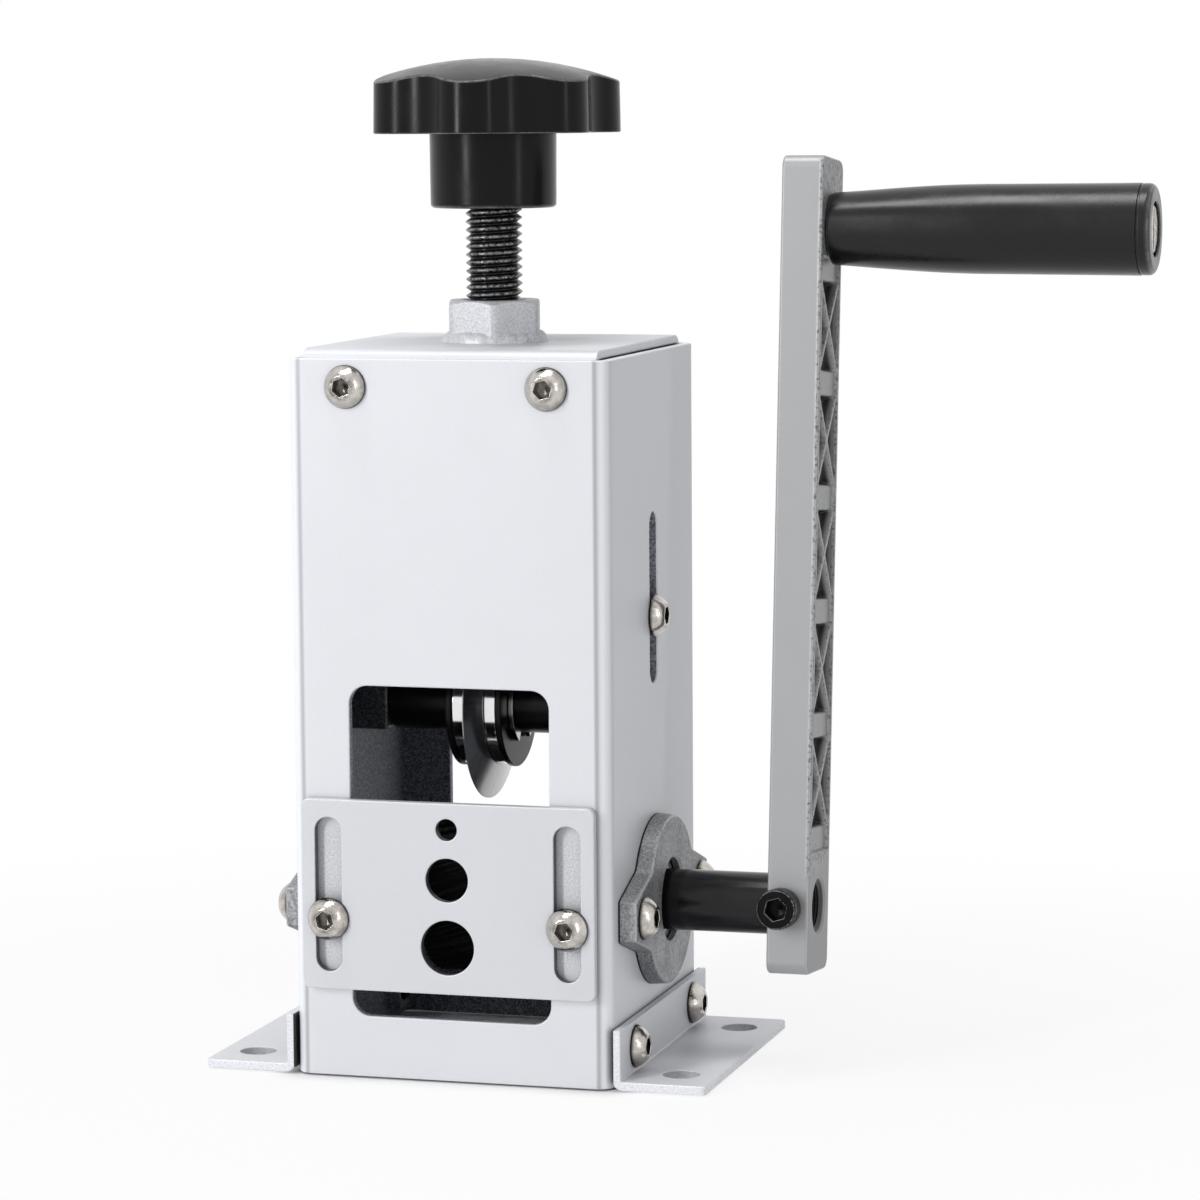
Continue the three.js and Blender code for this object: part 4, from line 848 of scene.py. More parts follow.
def casting(name):
    """Blasted casting: dark pits and bright specks over a mottled grey, lightened along its edges partly by
    abrasion and partly as a painted highlight.

    Up to a short way from the tube it is painted dark, as the shadow in the gap where it meets the tube.
    """
    finish = Finish(name)
    where = finish.place()
    mottle = finish.noise(where, 0.11, 3, 0.5)
    base = colours().casting
    colour = finish.mix(finish.ramp(mottle, 0.3, 0.7), shade(base, 0.8), shade(base, 1.25))
    colour = specks(finish, where, colour, base, 0.85, 1.7)
    grain = finish.noise(where, 2.2, 2, 0.7)
    wear = finish.mark("wear")
    # Lightened along rounded edges: partly abrasion, partly a painted highlight
    colour = finish.mix(wear * (0.3 + 0.5 * grain), colour, shade(base, 2.4))
    side = abs(finish.parts(where)[0])
    # Painted shadow in the gap where the flange meets the tube
    colour = finish.mix(side < HALF + GAP_SHADE_REACH, colour, CAST_GAP_SHADE_COLOUR)
    rough = 0.4 + 0.2 * grain - 0.1 * wear
    normal = finish.bump(grain, 0.12, 0.8)
    return finish.surface(base_color=colour, roughness=rough, metallic=0.55, normal=normal)


def arm_finish(name):
    """Crank arm: smooth satin sides, a speckled cast outer face above the shaft's hole, edges lightened
    partly by abrasion and partly as a painted highlight, and painted shade in its pockets.
    """
    finish = Finish(name)
    where = finish.place()
    x, _, z = finish.parts(where)
    grain = finish.noise(where, 2.0, 3, 0.7)
    fine = finish.noise(where, 0.06, 3, 0.5)
    depth, wear = finish.mark("depth"), finish.mark("wear")
    face = finish.ramp(x, ARM_OUTER - 1.1, ARM_OUTER - 0.5)
    cast = face * finish.ramp(z, SHAFT_HEIGHT + 7.0, SHAFT_HEIGHT + 11.0)
    smooth = finish.mix(fine, shade(colours().arm, 0.97), shade(colours().arm, 1.03))
    outside = finish.ramp(x, ARM_OUTER - 0.3, ARM_OUTER - 0.05)
    dull = colours().arm_rough
    colour = finish.mix(outside, smooth, dull)
    # Lightened along rounded edges: partly abrasion, partly a painted highlight
    colour = finish.mix(wear * 0.55, colour, shade(colours().arm, 1.6))
    colour = specks(finish, where, colour, dull, cast, 1.15)
    # Painted shade down in the channel's pockets and the threaded hole
    colour = finish.mix(finish.ramp(depth, 0.2, 0.7) * (0.8 + 0.2 * grain), colour, ARM_HOLLOW_SHADE)
    rough = 0.36 + 0.14 * grain
    normal = finish.bump(grain * (0.06 + 0.94 * cast), 0.16, 0.75)
    return finish.surface(base_color=colour, roughness=rough, metallic=0.35, normal=normal)


def oxide(name, rough, grain_size=1.4, depth=0.02, gloss=0.2, bared_and_highlight=0.0, pale=1.0, speck=0.0):
    """Black oxide on steel: a satin skin with faint patches lightened by handling, the metal showing along
    its abraded edges, which also stands in for a painted highlight there, and painted shade in its hollows.

    A speck above zero lays a pale, slightly blue grain over it, as on a shot-blasted casting.
    """
    finish = Finish(name)
    where = finish.place()
    grain = finish.noise(where, grain_size, 3, 0.6)
    rubbed_and_painted_highlight = finish.noise(where, 0.14, 4, 0.65)
    base = shade(colours().oxide, pale)
    colour = finish.mix(finish.ramp(rubbed_and_painted_highlight, 0.5, 0.8) * 0.5, shade(base, 0.85), shade(base, 2.6))
    if speck:
        blue = tuple(part * tint for part, tint in zip(shade(base, 3.2), BLASTED_TINT))
        colour = finish.mix(finish.ramp(grain, 0.44, 0.6) * speck, colour, blue)
    broken = finish.ramp(finish.noise(where, 1.2, 3, 0.7), 0.35, 0.6)
    edge = finish.ramp(finish.mark("wear"), 0.5, 0.9)
    # Steel showing on abraded edges, which also stands in for a painted highlight along them
    colour = finish.mix(edge * broken * bared_and_highlight, colour, BARE_STEEL_AND_HIGHLIGHT)
    # Painted shade down in hollows, such as a socket
    colour = finish.mix(finish.mark("depth") * 0.8, colour, OXIDE_HOLLOW_SHADE)
    roughness = (rough - 0.04) + 0.12 * rubbed_and_painted_highlight + 0.06 * grain
    normal = finish.bump(grain, depth, 0.5)
    return finish.surface(gloss=gloss, base_color=colour, roughness=roughness, metallic=0.3, normal=normal)


def nickel(name):
    """Bright plated screws: a warm metal with dull patches, painted shade in its hollows, on its shank and at
    the foot of its rim, and edges lightened partly by abrasion and partly as a painted highlight.
    """
    finish = Finish(name)
    where = finish.place()
    patch = finish.noise(where, 0.42, 4, 0.6)
    fine = finish.noise(where, 4.0, 2, 0.6)
    base = colours().nickel
    colour = finish.mix(finish.ramp(patch, 0.32, 0.68), shade(base, 0.5), shade(base, 1.3))
    # Lightened along rounded edges: partly abrasion, partly a painted highlight
    colour = finish.mix(finish.mark("wear") * 0.6, colour, shade(base, 1.6))
    # Painted shade in the hollows, on the shank and at the rim's foot
    colour = finish.mix(finish.mark("depth"), colour, NICKEL_HOLLOW_SHADE)
    rough = 0.08 + 0.14 * finish.ramp(patch, 0.35, 0.75)
    normal = finish.bump(fine + 4.0 * patch, 0.05, 0.5)
    return finish.surface(base_color=colour, roughness=rough, metallic=1.0, normal=normal)


def polished(name, centre, base, rough):
    """Turned steel: fine rings about its axis, by a wave of the distance from it."""
    finish = Finish(name)
    where = finish.place()
    far = finish.around(centre)
    lathe = (far * 21.0).math("SINE") * 0.5 + 0.5
    patch = finish.noise(where, 0.3, 3, 0.6)
    colour = finish.mix(lathe, shade(base, 0.93), shade(base, 1.03))
    colour = finish.mix(patch * 0.2, colour, shade(base, 0.75))
    normal = finish.bump(lathe + patch, 0.008, 0.4)
    return finish.surface(base_color=colour, roughness=rough + 0.1 * patch, metallic=1.0, normal=normal)


def blade_finish(name):
    """Blade: a dark flat, and a brighter bevel with grinding marks that run out from its middle."""
    finish = Finish(name)
    centre = (BLADE_MIDDLE, 0, AXLE_HEIGHT)
    far = finish.around(centre)
    x, y, z = finish.parts(finish.place(centre))
    angle = y.math("ARCTAN2", z)
    flat = finish.node("ShaderNodeCombineXYZ", None, {0: angle * 26.0, 1: far * 0.16, 2: x * 0.3})
    marks = finish.noise(flat, 1.0, 4, 0.7)
    grind = finish.noise(finish.place(centre), 0.35, 4, 0.6)
    bevel = finish.ramp(far, BLADE_LAND - 0.25, BLADE_LAND + 0.25)
    dark = finish.mix(grind, shade(colours().blade, 0.6), shade(colours().blade, 1.6))
    bright = finish.mix(marks, shade(colours().bevel, 0.55), shade(colours().bevel, 1.5))
    colour = finish.mix(bevel, dark, bright)
    rough = 0.2 + 0.08 * marks - 0.05 * bevel
    normal = finish.bump(marks * bevel + 0.4 * grind, 0.03, 0.6)
    return finish.surface(base_color=colour, roughness=rough, metallic=0.85, normal=normal)


def moulded(name, rough, gloss):
    """Black moulded plastic: a satin skin with a faint grain and handling marks, and pale parting edges,
    partly abrasion and partly a painted highlight.
    """
    finish = Finish(name)
    where = finish.place()
    skin = finish.noise(where, 0.7, 3, 0.5)
    marks = finish.noise(where, 0.09, 5, 0.65)
    base = colours().plastic
    colour = finish.mix(marks, shade(base, 0.8), shade(base, 1.35))
    broken = finish.ramp(finish.noise(where, 0.5, 4, 0.7), 0.35, 0.65)
    # Pale edges: partly abrasion, partly a painted highlight
    colour = finish.mix(finish.mark("wear") * (0.3 + 0.3 * broken), colour, PLASTIC_EDGE_WEAR_AND_HIGHLIGHT)
    roughness = rough + 0.1 * finish.ramp(marks, 0.35, 0.75) + 0.04 * skin
    normal = finish.bump(skin, 0.03, 0.35)
    return finish.surface(gloss=gloss, base_color=colour, roughness=roughness, normal=normal)


def dark_seal(name):
    """Rubber seal of a bearing: matt black with a fine grain."""
    finish = Finish(name)
    grain = finish.noise(finish.place(), 1.5, 3, 0.6)
    colour = finish.mix(grain, *RUBBER)
    return finish.surface(base_color=colour, roughness=0.55 + 0.15 * grain, normal=finish.bump(grain, 0.03))


# Pieces of the housing


def tube_panel(openings, edge):
    """One side of the tube, flat between the corners' tangents, with its openings, seen from outside."""
    side, top = TUBE_FLAT, TUBE_HEIGHT - edge
    outline = np.array([(-side, edge), (side, edge), (side, top), (-side, top)])
    shell = Shell()
    for line in openings:
        shell.walls(line, side_section(HALF - WALL, HALF, edge, edge))
    for depth, way in ((HALF, 1), (HALF - WALL, -1)):
        shell.cap([outline] + [line.grown(-edge) for line in openings], depth, way)
    return shell


def corner_strips(radius, edge, facing):
    """The tube's four upright corners: a quarter circle about the end of each flat, carried upward."""
    shell = Shell()
    for quarter in range(4):
        out = spoke(quarter * QUARTER + np.linspace(0, QUARTER, 9))
        middle = np.sign(spoke((quarter + 0.5) * QUARTER)) * TUBE_FLAT
        points = raised(np.stack([middle + radius * out] * 2), np.array([[edge], [TUBE_HEIGHT - edge]]))
        shell.grid(points, raised(np.stack([facing * out] * 2), 0.0))
    return shell


def tube_rims(edge):
    """The tube's top and bottom rims: two quarter arcs and a flat ring between its outer and inner lines."""
    outer = box(2 * HALF, 2 * HALF, TUBE_CORNER)
    inner = box(2 * (HALF - WALL), 2 * (HALF - WALL), TUBE_CORNER - WALL, hole=True)
    shell = Shell()
    top = path([(0, TUBE_HEIGHT - edge), (0, TUBE_HEIGHT), (-edge, TUBE_HEIGHT)], [0, edge, 0], closed=False)
    bottom = path([(-edge, 0), (0, 0), (0, edge)], [0, edge, 0], closed=False)
    for line in (outer, inner):
        shell.walls(line, top).walls(line, bottom)
    loops = [outer.grown(-edge), inner.grown(-edge)]
    return shell.cap(loops, TUBE_HEIGHT, 1).cap(loops, 0.0, -1)


def weld_nuts(seats, grip):
    """Thin hexagon nuts behind the sheet, one below each seat."""
    loops = [hexagon(SMALL_NUT_FLATS, 0.3), circle(SCREW_RADIUS, hole=True, sides=24)]
    nut = plate(loops, -grip - SMALL_NUT_HEIGHT, -grip, edge=0.01, low_edge=0.45)
    shell = Shell()
    for at, facing in seats.values():
        shell.add(seated(nut, at, facing))
    return shell


CORNERS = {f"{a}_{b}": (i, j) for a, i in SIDES.items() for b, j in ENDS.items()}


def side_seats(thick, height):
    """Seats at the four corners' sides, on a plate of a given thickness on the tube."""
    out, along = HALF + thick, SCREW_SPACING / 2
    return {name: ((i * out, j * along, height), (i, 0, 0)) for name, (i, j) in CORNERS.items()}


# Each screw's seat: the place under its head, and the way the head faces
LID_SEATS = {
    name: ((i * LID_SCREW_OUT, j * HALF, LID_SCREW_HEIGHT), (0, j, 0)) for name, (i, j) in CORNERS.items()
}
FOOT_SEATS = side_seats(FOOT_PLATE, FOOT_SCREW_HEIGHT)
FLANGE_SEATS = side_seats(FLANGE_PLATE, SHAFT_HEIGHT)
GUIDE_SEATS = {
    name: ((i * GUIDE_SLOT_OUT, -GUIDE_FRONT, GUIDE_SCREW_HEIGHT), (0, -1, 0)) for name, i in SIDES.items()
}
CARRIER_SEATS = {name: ((i * (HALF + FIT), 0, CARRIER_SCREW_HEIGHT), (i, 0, 0)) for name, i in SIDES.items()}

# The thickness between each screw's head and its nut
LID_GRIP = WALL + FIT + LID_PLATE
FOOT_GRIP = FOOT_PLATE + WALL
FLANGE_GRIP = FLANGE_PLATE + WALL
GUIDE_GRIP = GUIDE_FRONT - HALF + WALL


def tube_shell():
    """The square tube: four panels with openings, four corners, two rims, and the nuts welded inside."""
    edge = sizes().sheet_edge / MM
    window = box(*WINDOW, WINDOW_CORNER, (0, WINDOW_BOTTOM + WINDOW[1] / 2), hole=True)
    slot = box(*SIDE_SLOT, SIDE_SLOT[0] / 2, (0, SIDE_SLOT_BOTTOM + SIDE_SLOT[1] / 2), hole=True)
    bore = circle(BEARING_RADIUS + FIT, (0, SHAFT_HEIGHT), 64, hole=True)
    shell = Shell()
    for openings, normals in (([window], ((0, -1, 0), (0, 1, 0))), ([slot, bore], ((1, 0, 0), (-1, 0, 0)))):
        panel = tube_panel(openings, edge)
        for normal in normals:
            shell.add(seated(panel, (0, 0, 0), normal))
    shell.add(corner_strips(TUBE_CORNER, edge, 1)).add(corner_strips(TUBE_CORNER - WALL, edge, -1))
    shell.add(tube_rims(edge))
    for seats, grip in ((FOOT_SEATS, FOOT_GRIP), (FLANGE_SEATS, FLANGE_GRIP), (GUIDE_SEATS, GUIDE_GRIP)):
        shell.add(weld_nuts(seats, grip))
    return shell


def folded_sheet(runs, bend, half, thick, edge, holes=(), corner=0.0):
    """A strip bent at right angles between its straight runs.

    It is made flat, in (way along, way across, thickness), and then bent: on a run a point goes straight
    on, and on a bend of outer radius R it stands at R - thickness from the bend's middle, at the angle that
    its way gives. Gives the bent shell as (forward, across, upward), starting forward from the origin and
    turning right.
    """
    arc = bend * QUARTER
    stations, place = [0.0], 0.0
    for run in runs[:-1]:
        stations += list(place + run + np.linspace(0, arc, 9))
        place += run + arc
    stations.append(place + runs[-1])
    corners = [(s, -half) for s in stations] + [(s, half) for s in stations[::-1]]
    radii = np.zeros(len(corners))
    radii[[0, -1]] = corner
    outline, section = path(corners, radii, steps=8), side_section(0, thick, edge, edge)
    shell = Shell()
    for line in (outline, *holes):
        shell.walls(line, section)
    # Edges carry the edge mark, lightened as abrasion and painted highlight; the holes' walls are marked for
    # painted shade
    steep = 1 - np.abs(shell.facing[:, 2])
    shell.marks[:, 0] = steep > 0.1
    rim = len(outline.points) * len(section.points)
    shell.marks[rim:, 1] = 0.5 * (steep[rim:] > 0.5)
    flat = outline.grown(-edge)
    for start, stop in zip(stations[:-1], stations[1:]):
        near = flat[(flat[:, 0] > start - 1e-6) & (flat[:, 0] < stop + 1e-6)]
        near = near[np.argsort(np.arctan2(near[:, 1], near[:, 0] - (start + stop) / 2))]
        inside = [h.grown(-edge) for h in holes if start < h.points[:, 0].mean() < stop]
        shell.cap([near, *inside], thick, 1).cap([near, *inside], 0.0, -1)
    way, across, depth = shell.points.T
    angle, forward, upward = np.zeros_like(way), way.copy(), depth.copy()
    origin, heading, place = np.zeros(2), 0.0, 0.0
    for i, run in enumerate(runs):
        ahead, side = spoke(np.array(heading)), right_of(spoke(np.array(heading)))
        here = way >= place - 1e-9
        spot = origin + (way[here] - place)[:, None] * ahead + depth[here][:, None] * side
        forward[here], upward[here], angle[here] = spot[:, 0], spot[:, 1], heading
        place += run
        origin = origin + run * ahead
        if i < len(runs) - 1:
            here = way > place + 1e-9
            turn = (way[here] - place) / bend
            middle = origin + bend * side
            out = -side * np.cos(turn)[:, None] + ahead * np.sin(turn)[:, None]
            spot = middle + (bend - depth[here])[:, None] * out
            forward[here], upward[here], angle[here] = spot[:, 0], spot[:, 1], heading - turn
            place += arc
            origin = middle + bend * ahead
            heading -= QUARTER
    cos, sin = np.cos(angle), np.sin(angle)
    along, over, through = shell.facing.T
    facing = np.stack([along * cos + through * sin, over, along * sin - through * cos], -1)
    return Shell().patch(np.stack([forward, across, upward], -1), facing, shell.faces, shell.marks)


def lid_shell():
    """The lid: a strip folded down at the front and the back.

    Its flanges are held back where they would meet the tube's round inner corners, along a quarter circle.
    """
    flange = LID_FLANGE + LID_PLATE - LID_BEND
    runs = [flange, 2 * (LID_HALF_DEPTH - LID_BEND), flange]
    bent = folded_sheet(runs, LID_BEND, LID_HALF_WIDTH, LID_PLATE, sizes().sheet_edge / MM)
    upright = np.array([[0, 1, 0], [0, 0, -1], [1, 0, 0]], float)
    shell = Shell().add(bent, upright, (0, -LID_HALF_DEPTH, TUBE_HEIGHT - LID_FLANGE))
    x, y = shell.points[:, 0], shell.points[:, 1]
    radius = TUBE_CORNER - WALL - FIT / 2
    over = np.clip(np.abs(y) - TUBE_FLAT, 0, radius)
    limit = np.where(over > 0, TUBE_FLAT + np.sqrt(radius**2 - over**2), LID_HALF_WIDTH)
    shell.points[:, 0] = np.clip(x, -limit, limit)
    return shell.add(weld_nuts(LID_SEATS, LID_GRIP))


def nut_shell():
    """The nut on the lid, and its weld bead.

    At an angle a from the middle of a flat, the side stands at f / (2 cos a), held back a little at the
    corners. Its top edge drops with that distance, as a cone cuts it, so each flat ends in an arch. The
    bead's radius and height swell in a row of ripples.
    """
    sides = 216
    angle = np.arange(sides) * TURN / sides
    off = (angle - NUT_TURN + math.pi / 6) % (math.pi / 3) - math.pi / 6
    out = np.minimum(NUT_FLATS / 2 / np.cos(off), NUT_REACH)
    out = (np.roll(out, 1) + 2 * out + np.roll(out, -1)) / 4
    top = LID_TOP + NUT_HEIGHT
    shoulder = top - np.maximum(out - NUT_CONE, 0) * NUT_CONE_SLOPE
    rows = [(out, np.full(sides, LID_TOP))]
    rows += [(out, shoulder - drop) for drop in (0.5, 0.25)]
    rows += [(out - 0.12, shoulder - 0.02), (out - 0.34, shoulder + 0.13)]
    rows += [(out + (NUT_CONE - out) * s, shoulder + (top - shoulder) * s) for s in (0.45, 0.75, 1.0)]
    mouth = ((NUT_BORE + 1.85, top), (NUT_BORE + 0.65, top), (NUT_BORE, top - 0.5))
    rows += [(np.full(sides, r), np.full(sides, z)) for r, z in mouth]
    flat = spoke(angle)
    points = np.stack([raised(flat * r[:, None], z) for r, z in rows])
    shell = Shell().grid(points, facing_of(points, raised(flat, 0.6)[None]), round_columns=True)
    shell.add(turned(path([(NUT_BORE, top - 0.5), (NUT_BORE, LID_TOP - 0.5)], closed=False)))
    ripple = sizes().bead_ripple / MM
    wave = np.abs(np.sin(11 * angle + 0.6 * np.sin(2 * angle))) + 0.35 * np.sin(3 * angle + 1.0)
    share = np.linspace(0, 1, 9)[:, None]
    swell = np.sin(math.pi * np.clip(share * 0.55 + 0.25, 0, 1))
    radius = WELD_RADIUS - 0.25 - 2.2 * share**1.25 + ripple * wave * swell
    height = LID_TOP + WELD_HEIGHT * np.sin(QUARTER * share) ** 0.9 * (0.9 + 0.1 * wave)
    bead = raised(flat[None] * radius[..., None], height)
    return shell.grid(bead, facing_of(bead, raised(flat, 0.8)[None]), round_columns=True)


def foot_shell(side):
    """An angle foot with two holes: a strip bent up against the tube's side, its outer corners rounded."""
    runs = [FOOT_REACH - FOOT_BEND, FOOT_RISE - FOOT_BEND]
    spots = [(FOOT_REACH - FOOT_HOLE_OUT, end * FOOT_HOLE_SPACING / 2) for end in (-1, 1)]
    holes = [circle(FOOT_HOLE, spot, hole=True) for spot in spots]
    bent = folded_sheet(runs, FOOT_BEND, HALF, FOOT_PLATE, FOOT_EDGE, holes, FOOT_CORNER)
    outward = np.array([[-1, 0, 0], [0, 1, 0], [0, 0, -1]], float)
    shell = Shell().add(bent, outward, (HALF + FOOT_REACH, 0, 0))
    return shell if side > 0 else mirrored(shell)


def flange_line():
    """A disc with two tapering ears, as a distance at each angle.

    The ear's distance is the smaller of its tip's and its slanted side's, and the outline is the larger of
    that and the disc's, both met smoothly: near where two values a and b cross, h = max(k - |a - b|, 0),
    and h^2 / 4k is taken from the smaller or added to the larger.
    """

    def meet(a, b, reach, way):
        blend = np.maximum(reach - np.abs(a - b), 0) ** 2 / (4 * reach)
        return np.maximum(a, b) + blend if way > 0 else np.minimum(a, b) - blend

    angle = np.arange(720) * TURN / 720
    angle = angle - 0.16 * np.sin(2 * angle)
    cos, sin = np.abs(np.cos(angle)), np.abs(np.sin(angle))
    tip = EAR_TIP / np.maximum(cos, 1e-6)
    slant = EAR_SIDE / (EAR_SIDE_FACING[0] * cos + EAR_SIDE_FACING[1] * sin)
    ear = meet(np.minimum(tip, 60), slant, 1.1, -1)
    return curve(spoke(angle) * meet(ear, np.full_like(ear, FLANGE_DISC), 0.9, 1)[:, None], closed=True)


def flange_shell(side):
    """A bearing flange: sloped sides with a soft edge, a bore for the shaft and a seat for the bearing."""
    line = flange_line()
    edge = sizes().casting_edge / MM
    back = FLANGE_SLOPE + edge
    section = path([(0, 0), (-0.35, FLANGE_PLATE), (-back, FLANGE_PLATE)], [0, edge, 0], closed=False)
    shell = Shell().walls(line, section, "x")
    bore, mouth, seat = FLANGE_BORE, FLANGE_BORE + 0.4, BEARING_RADIUS + FIT
    shell.cap([line.grown(-back), circle(mouth, hole=True, sides=72).points], FLANGE_PLATE, 1, "x")
    shell.cap([line.points, circle(seat, hole=True, sides=72).points], 0.0, -1, "x")
    corners = [(mouth, FLANGE_PLATE), (bore, FLANGE_PLATE - 0.4), (bore, BEARING_SEAT)]
    corners += [(seat, BEARING_SEAT), (seat, 0)]
    shell.add(turned(path(corners, [0, 0.2, 0, 0, 0], closed=False), "x", sides=72))
    right = Shell().add(shell, move=(HALF, 0, SHAFT_HEIGHT))
    return right if side > 0 else mirrored(right)


def bearing_shells(side):
    """A sealed ball bearing's outer ring, its seal and its inner ring. The last turns with the shaft."""
    high, low = BEARING_FACE, BEARING_FACE - BEARING_WIDTH
    at = {"axis": "x", "centre": (0, 0, SHAFT_HEIGHT)}
    outer = ring(OUTER_RACE, BEARING_RADIUS, low, high, 0.5, **at)
    seal = ring(SEAL_INNER, OUTER_RACE, low + 0.35, high - 0.35, 0.2, **at)
    inner = ring(SHAFT_BORE, INNER_RACE, low, high, 0.4, axis="x")
    parts = [outer, seal, on_crank(inner)]
    return parts if side > 0 else [mirrored(part) for part in parts]


# Screws


def head_hollow(line, top, depth, drill):
    """The walls and floor of a hollow in a screw's head: six flats, and the dimple that the drill left."""
    shell = Shell().walls(line, side_section(top - depth, top, 0, HOLLOW_EDGE))
    dimple = circle(drill, hole=True, sides=24)
    shell.cap([line.points[::-1], dimple.points], top - depth, 1)
    shell.add(turned(path([(drill, top - depth), (0, top - depth - 0.55)], closed=False), sides=24))
    # The hollow's rim is lightened as abrasion and painted highlight; below it the walls and floor get
    # painted shade
    shell.marks[:, 0] = shell.points[:, 2] > top - 0.2
    shell.marks[:, 1] = np.where(shell.points[:, 2] < top - 0.3, 0.75, 0.0)
    return shell


def button_shell(length, foot=0.0):
    """A button head screw: a low dome from the rim to the flat round its six-sided hollow.

    The foot is how far the head's lower face stands off its seat, where the piece below has to slide. The
    dome lies between a cone and a quarter ellipse: its radius follows cos(a)^1.5 and its height sin(a)^1.5.
    The shank and the foot of the rim are marked for painted shade.
    """
    bend = np.linspace(0, QUARTER, 16)
    share = np.stack([np.cos(bend), np.sin(bend)], -1).clip(0) ** 1.5
    spread = (BUTTON_RADIUS - BUTTON_FLAT, BUTTON_HEIGHT - BUTTON_RIM)
    dome = curve(np.array([BUTTON_FLAT, BUTTON_RIM]) + share * spread)
    stem = [(0, -length), (SCREW_RADIUS, -length), (SCREW_RADIUS, foot)]
    stem += [(BUTTON_RADIUS, foot), (BUTTON_RADIUS, BUTTON_RIM)]
    shell = turned(chain(path(stem, [0, 0.5, 0, 0.1, 0], closed=False, steps=3), dome), sides=48)
    # Painted shade on the shank and round the rim's foot, growing below 0.95 mm
    shell.marks[:, 1] = np.clip((0.95 - shell.points[:, 2]) / 0.6, 0, 1)
    line = hexagon(BUTTON_KEY, 0.15, hole=True)
    shell.cap([circle(BUTTON_FLAT, sides=48).points, line.grown(-HOLLOW_EDGE)], BUTTON_HEIGHT, 1)
    return shell.add(head_hollow(line, BUTTON_HEIGHT, 2.0, 1.25))


def clamp_shell():
    """The socket head screw that clamps the arm: a knurled round head with a chamfered rim.

    The knurl is a triangle wave of the angle, one to each tooth, taken off the radius of the lower rows.
    """
    angle = np.arange(3 * CLAMP_TEETH) / 3 / CLAMP_TEETH * TURN
    teeth = CLAMP_TOOTH * np.abs(((angle * CLAMP_TEETH / TURN) % 1) - 0.5) * 2
    r, high = CLAMP_RADIUS, CLAMP_HEIGHT
    rows = [(r - 0.3, 0.0, 0), (r - 0.05, 0.25, 1), (r, 0.6, 1), (r, high - 1.5, 1), (r - 0.1, high - 1.2, 0)]
    rows += [(r - 0.15, high - 0.7, 0), (r - 0.4, high - 0.2, 0), (r - 0.7, high, 0)]
    points = np.stack([raised(spoke(angle) * (out - cut * teeth)[:, None], z) for out, z, cut in rows])
    facing = facing_of(points, raised(spoke(angle), 0.15)[None])
    # Two rim rows carry the edge mark: steel showing, partly abrasion and partly painted highlight
    marks = edge_marks([0, 0, 0, 0, 1, 0, 1, 0], points)
    shell = Shell().grid(points, facing, round_columns=True, marks=marks)
    shell.cap([points[0, :, :2]], 0.0, -1)
    line = hexagon(CLAMP_KEY, 0.2, hole=True)
    shell.cap([points[-1, :, :2], line.grown(-HOLLOW_EDGE)], high, 1)
    shell.add(head_hollow(line, high, 3.2, 1.6))
    low = SHAFT_BORE - ARM_HALF
    shank = path([(0, low), (CLAMP_SHANK, low), (CLAMP_SHANK, 0)], [0, 0.4, 0], closed=False)
    shell.add(turned(shank, sides=32))
    return on_crank(seated(shell, (CLAMP_X, -ARM_HALF - FIT, 0), (0, -1, 0), 0.3))


# Guide plate, carrier, blade and adjusting screw


def guide_shell():
    """The guide plate, with its two long slots and three cable holes, whose walls are marked for painted
    shade.
    """
    middle = GUIDE_BOTTOM + GUIDE_SIZE[1] / 2
    loops = [box(*GUIDE_SIZE, GUIDE_CORNER, (0, middle))]
    loops += [box(*GUIDE_SLOT, GUIDE_SLOT[0] / 2, (i * GUIDE_SLOT_OUT, middle), hole=True) for i in (-1, 1)]
    loops += [circle(radius, (0, up), 56, hole=True) for radius, up in GUIDE_HOLES]
    edge = sizes().sheet_edge / MM
    shell = plate(loops, -GUIDE_FRONT, -GUIDE_BACK, "y", edge)
    x, y, z = shell.points.T
    # Painted shade on the walls inside the plate's outline
    within = np.maximum(np.abs(x) - GUIDE_SIZE[0] / 2, np.abs(z - middle) - GUIDE_SIZE[1] / 2) < -1.0
    shell.marks[:, 1] = within & (y > -GUIDE_FRONT + edge * 0.6) & (y < -GUIDE_BACK - 0.01)
    return shell


def carrier_shell():
    """The arch that carries the blade, with a drilled recess in each arm's back for the axle's grub screw."""
    a, b = CARRIER_HALF, CARRIER_INNER
    corners = [(-a, CARRIER_LOW), (-b, CARRIER_LOW), (-b, CARRIER_ROOF), (b, CARRIER_ROOF)]
    corners += [(b, CARRIER_LOW), (a, CARRIER_LOW), (a, CARRIER_TOP), (-a, CARRIER_TOP)]
    line = path(corners, [1, 1, 2.5, 2.5, 1, 1, 2, 2])
    depth, edge = CARRIER_HALF_DEPTH, CARRIER_EDGE
    shell = Shell().walls(line, side_section(-depth, depth, edge, edge), "y")
    drills = [circle(2.1, (i * (a + b) / 2, AXLE_HEIGHT), 24, hole=True) for i in (-1, 1)]
    shell.cap([line.grown(-edge)], -depth, -1, "y")
    shell.cap([line.grown(-edge)] + [drill.points for drill in drills], depth, 1, "y")
    for drill in drills:
        shell.walls(drill, path([(0, depth - 1), (0, depth)], closed=False), "y")
        shell.cap([drill.points[::-1]], depth - 1, 1, "y")
    return shell


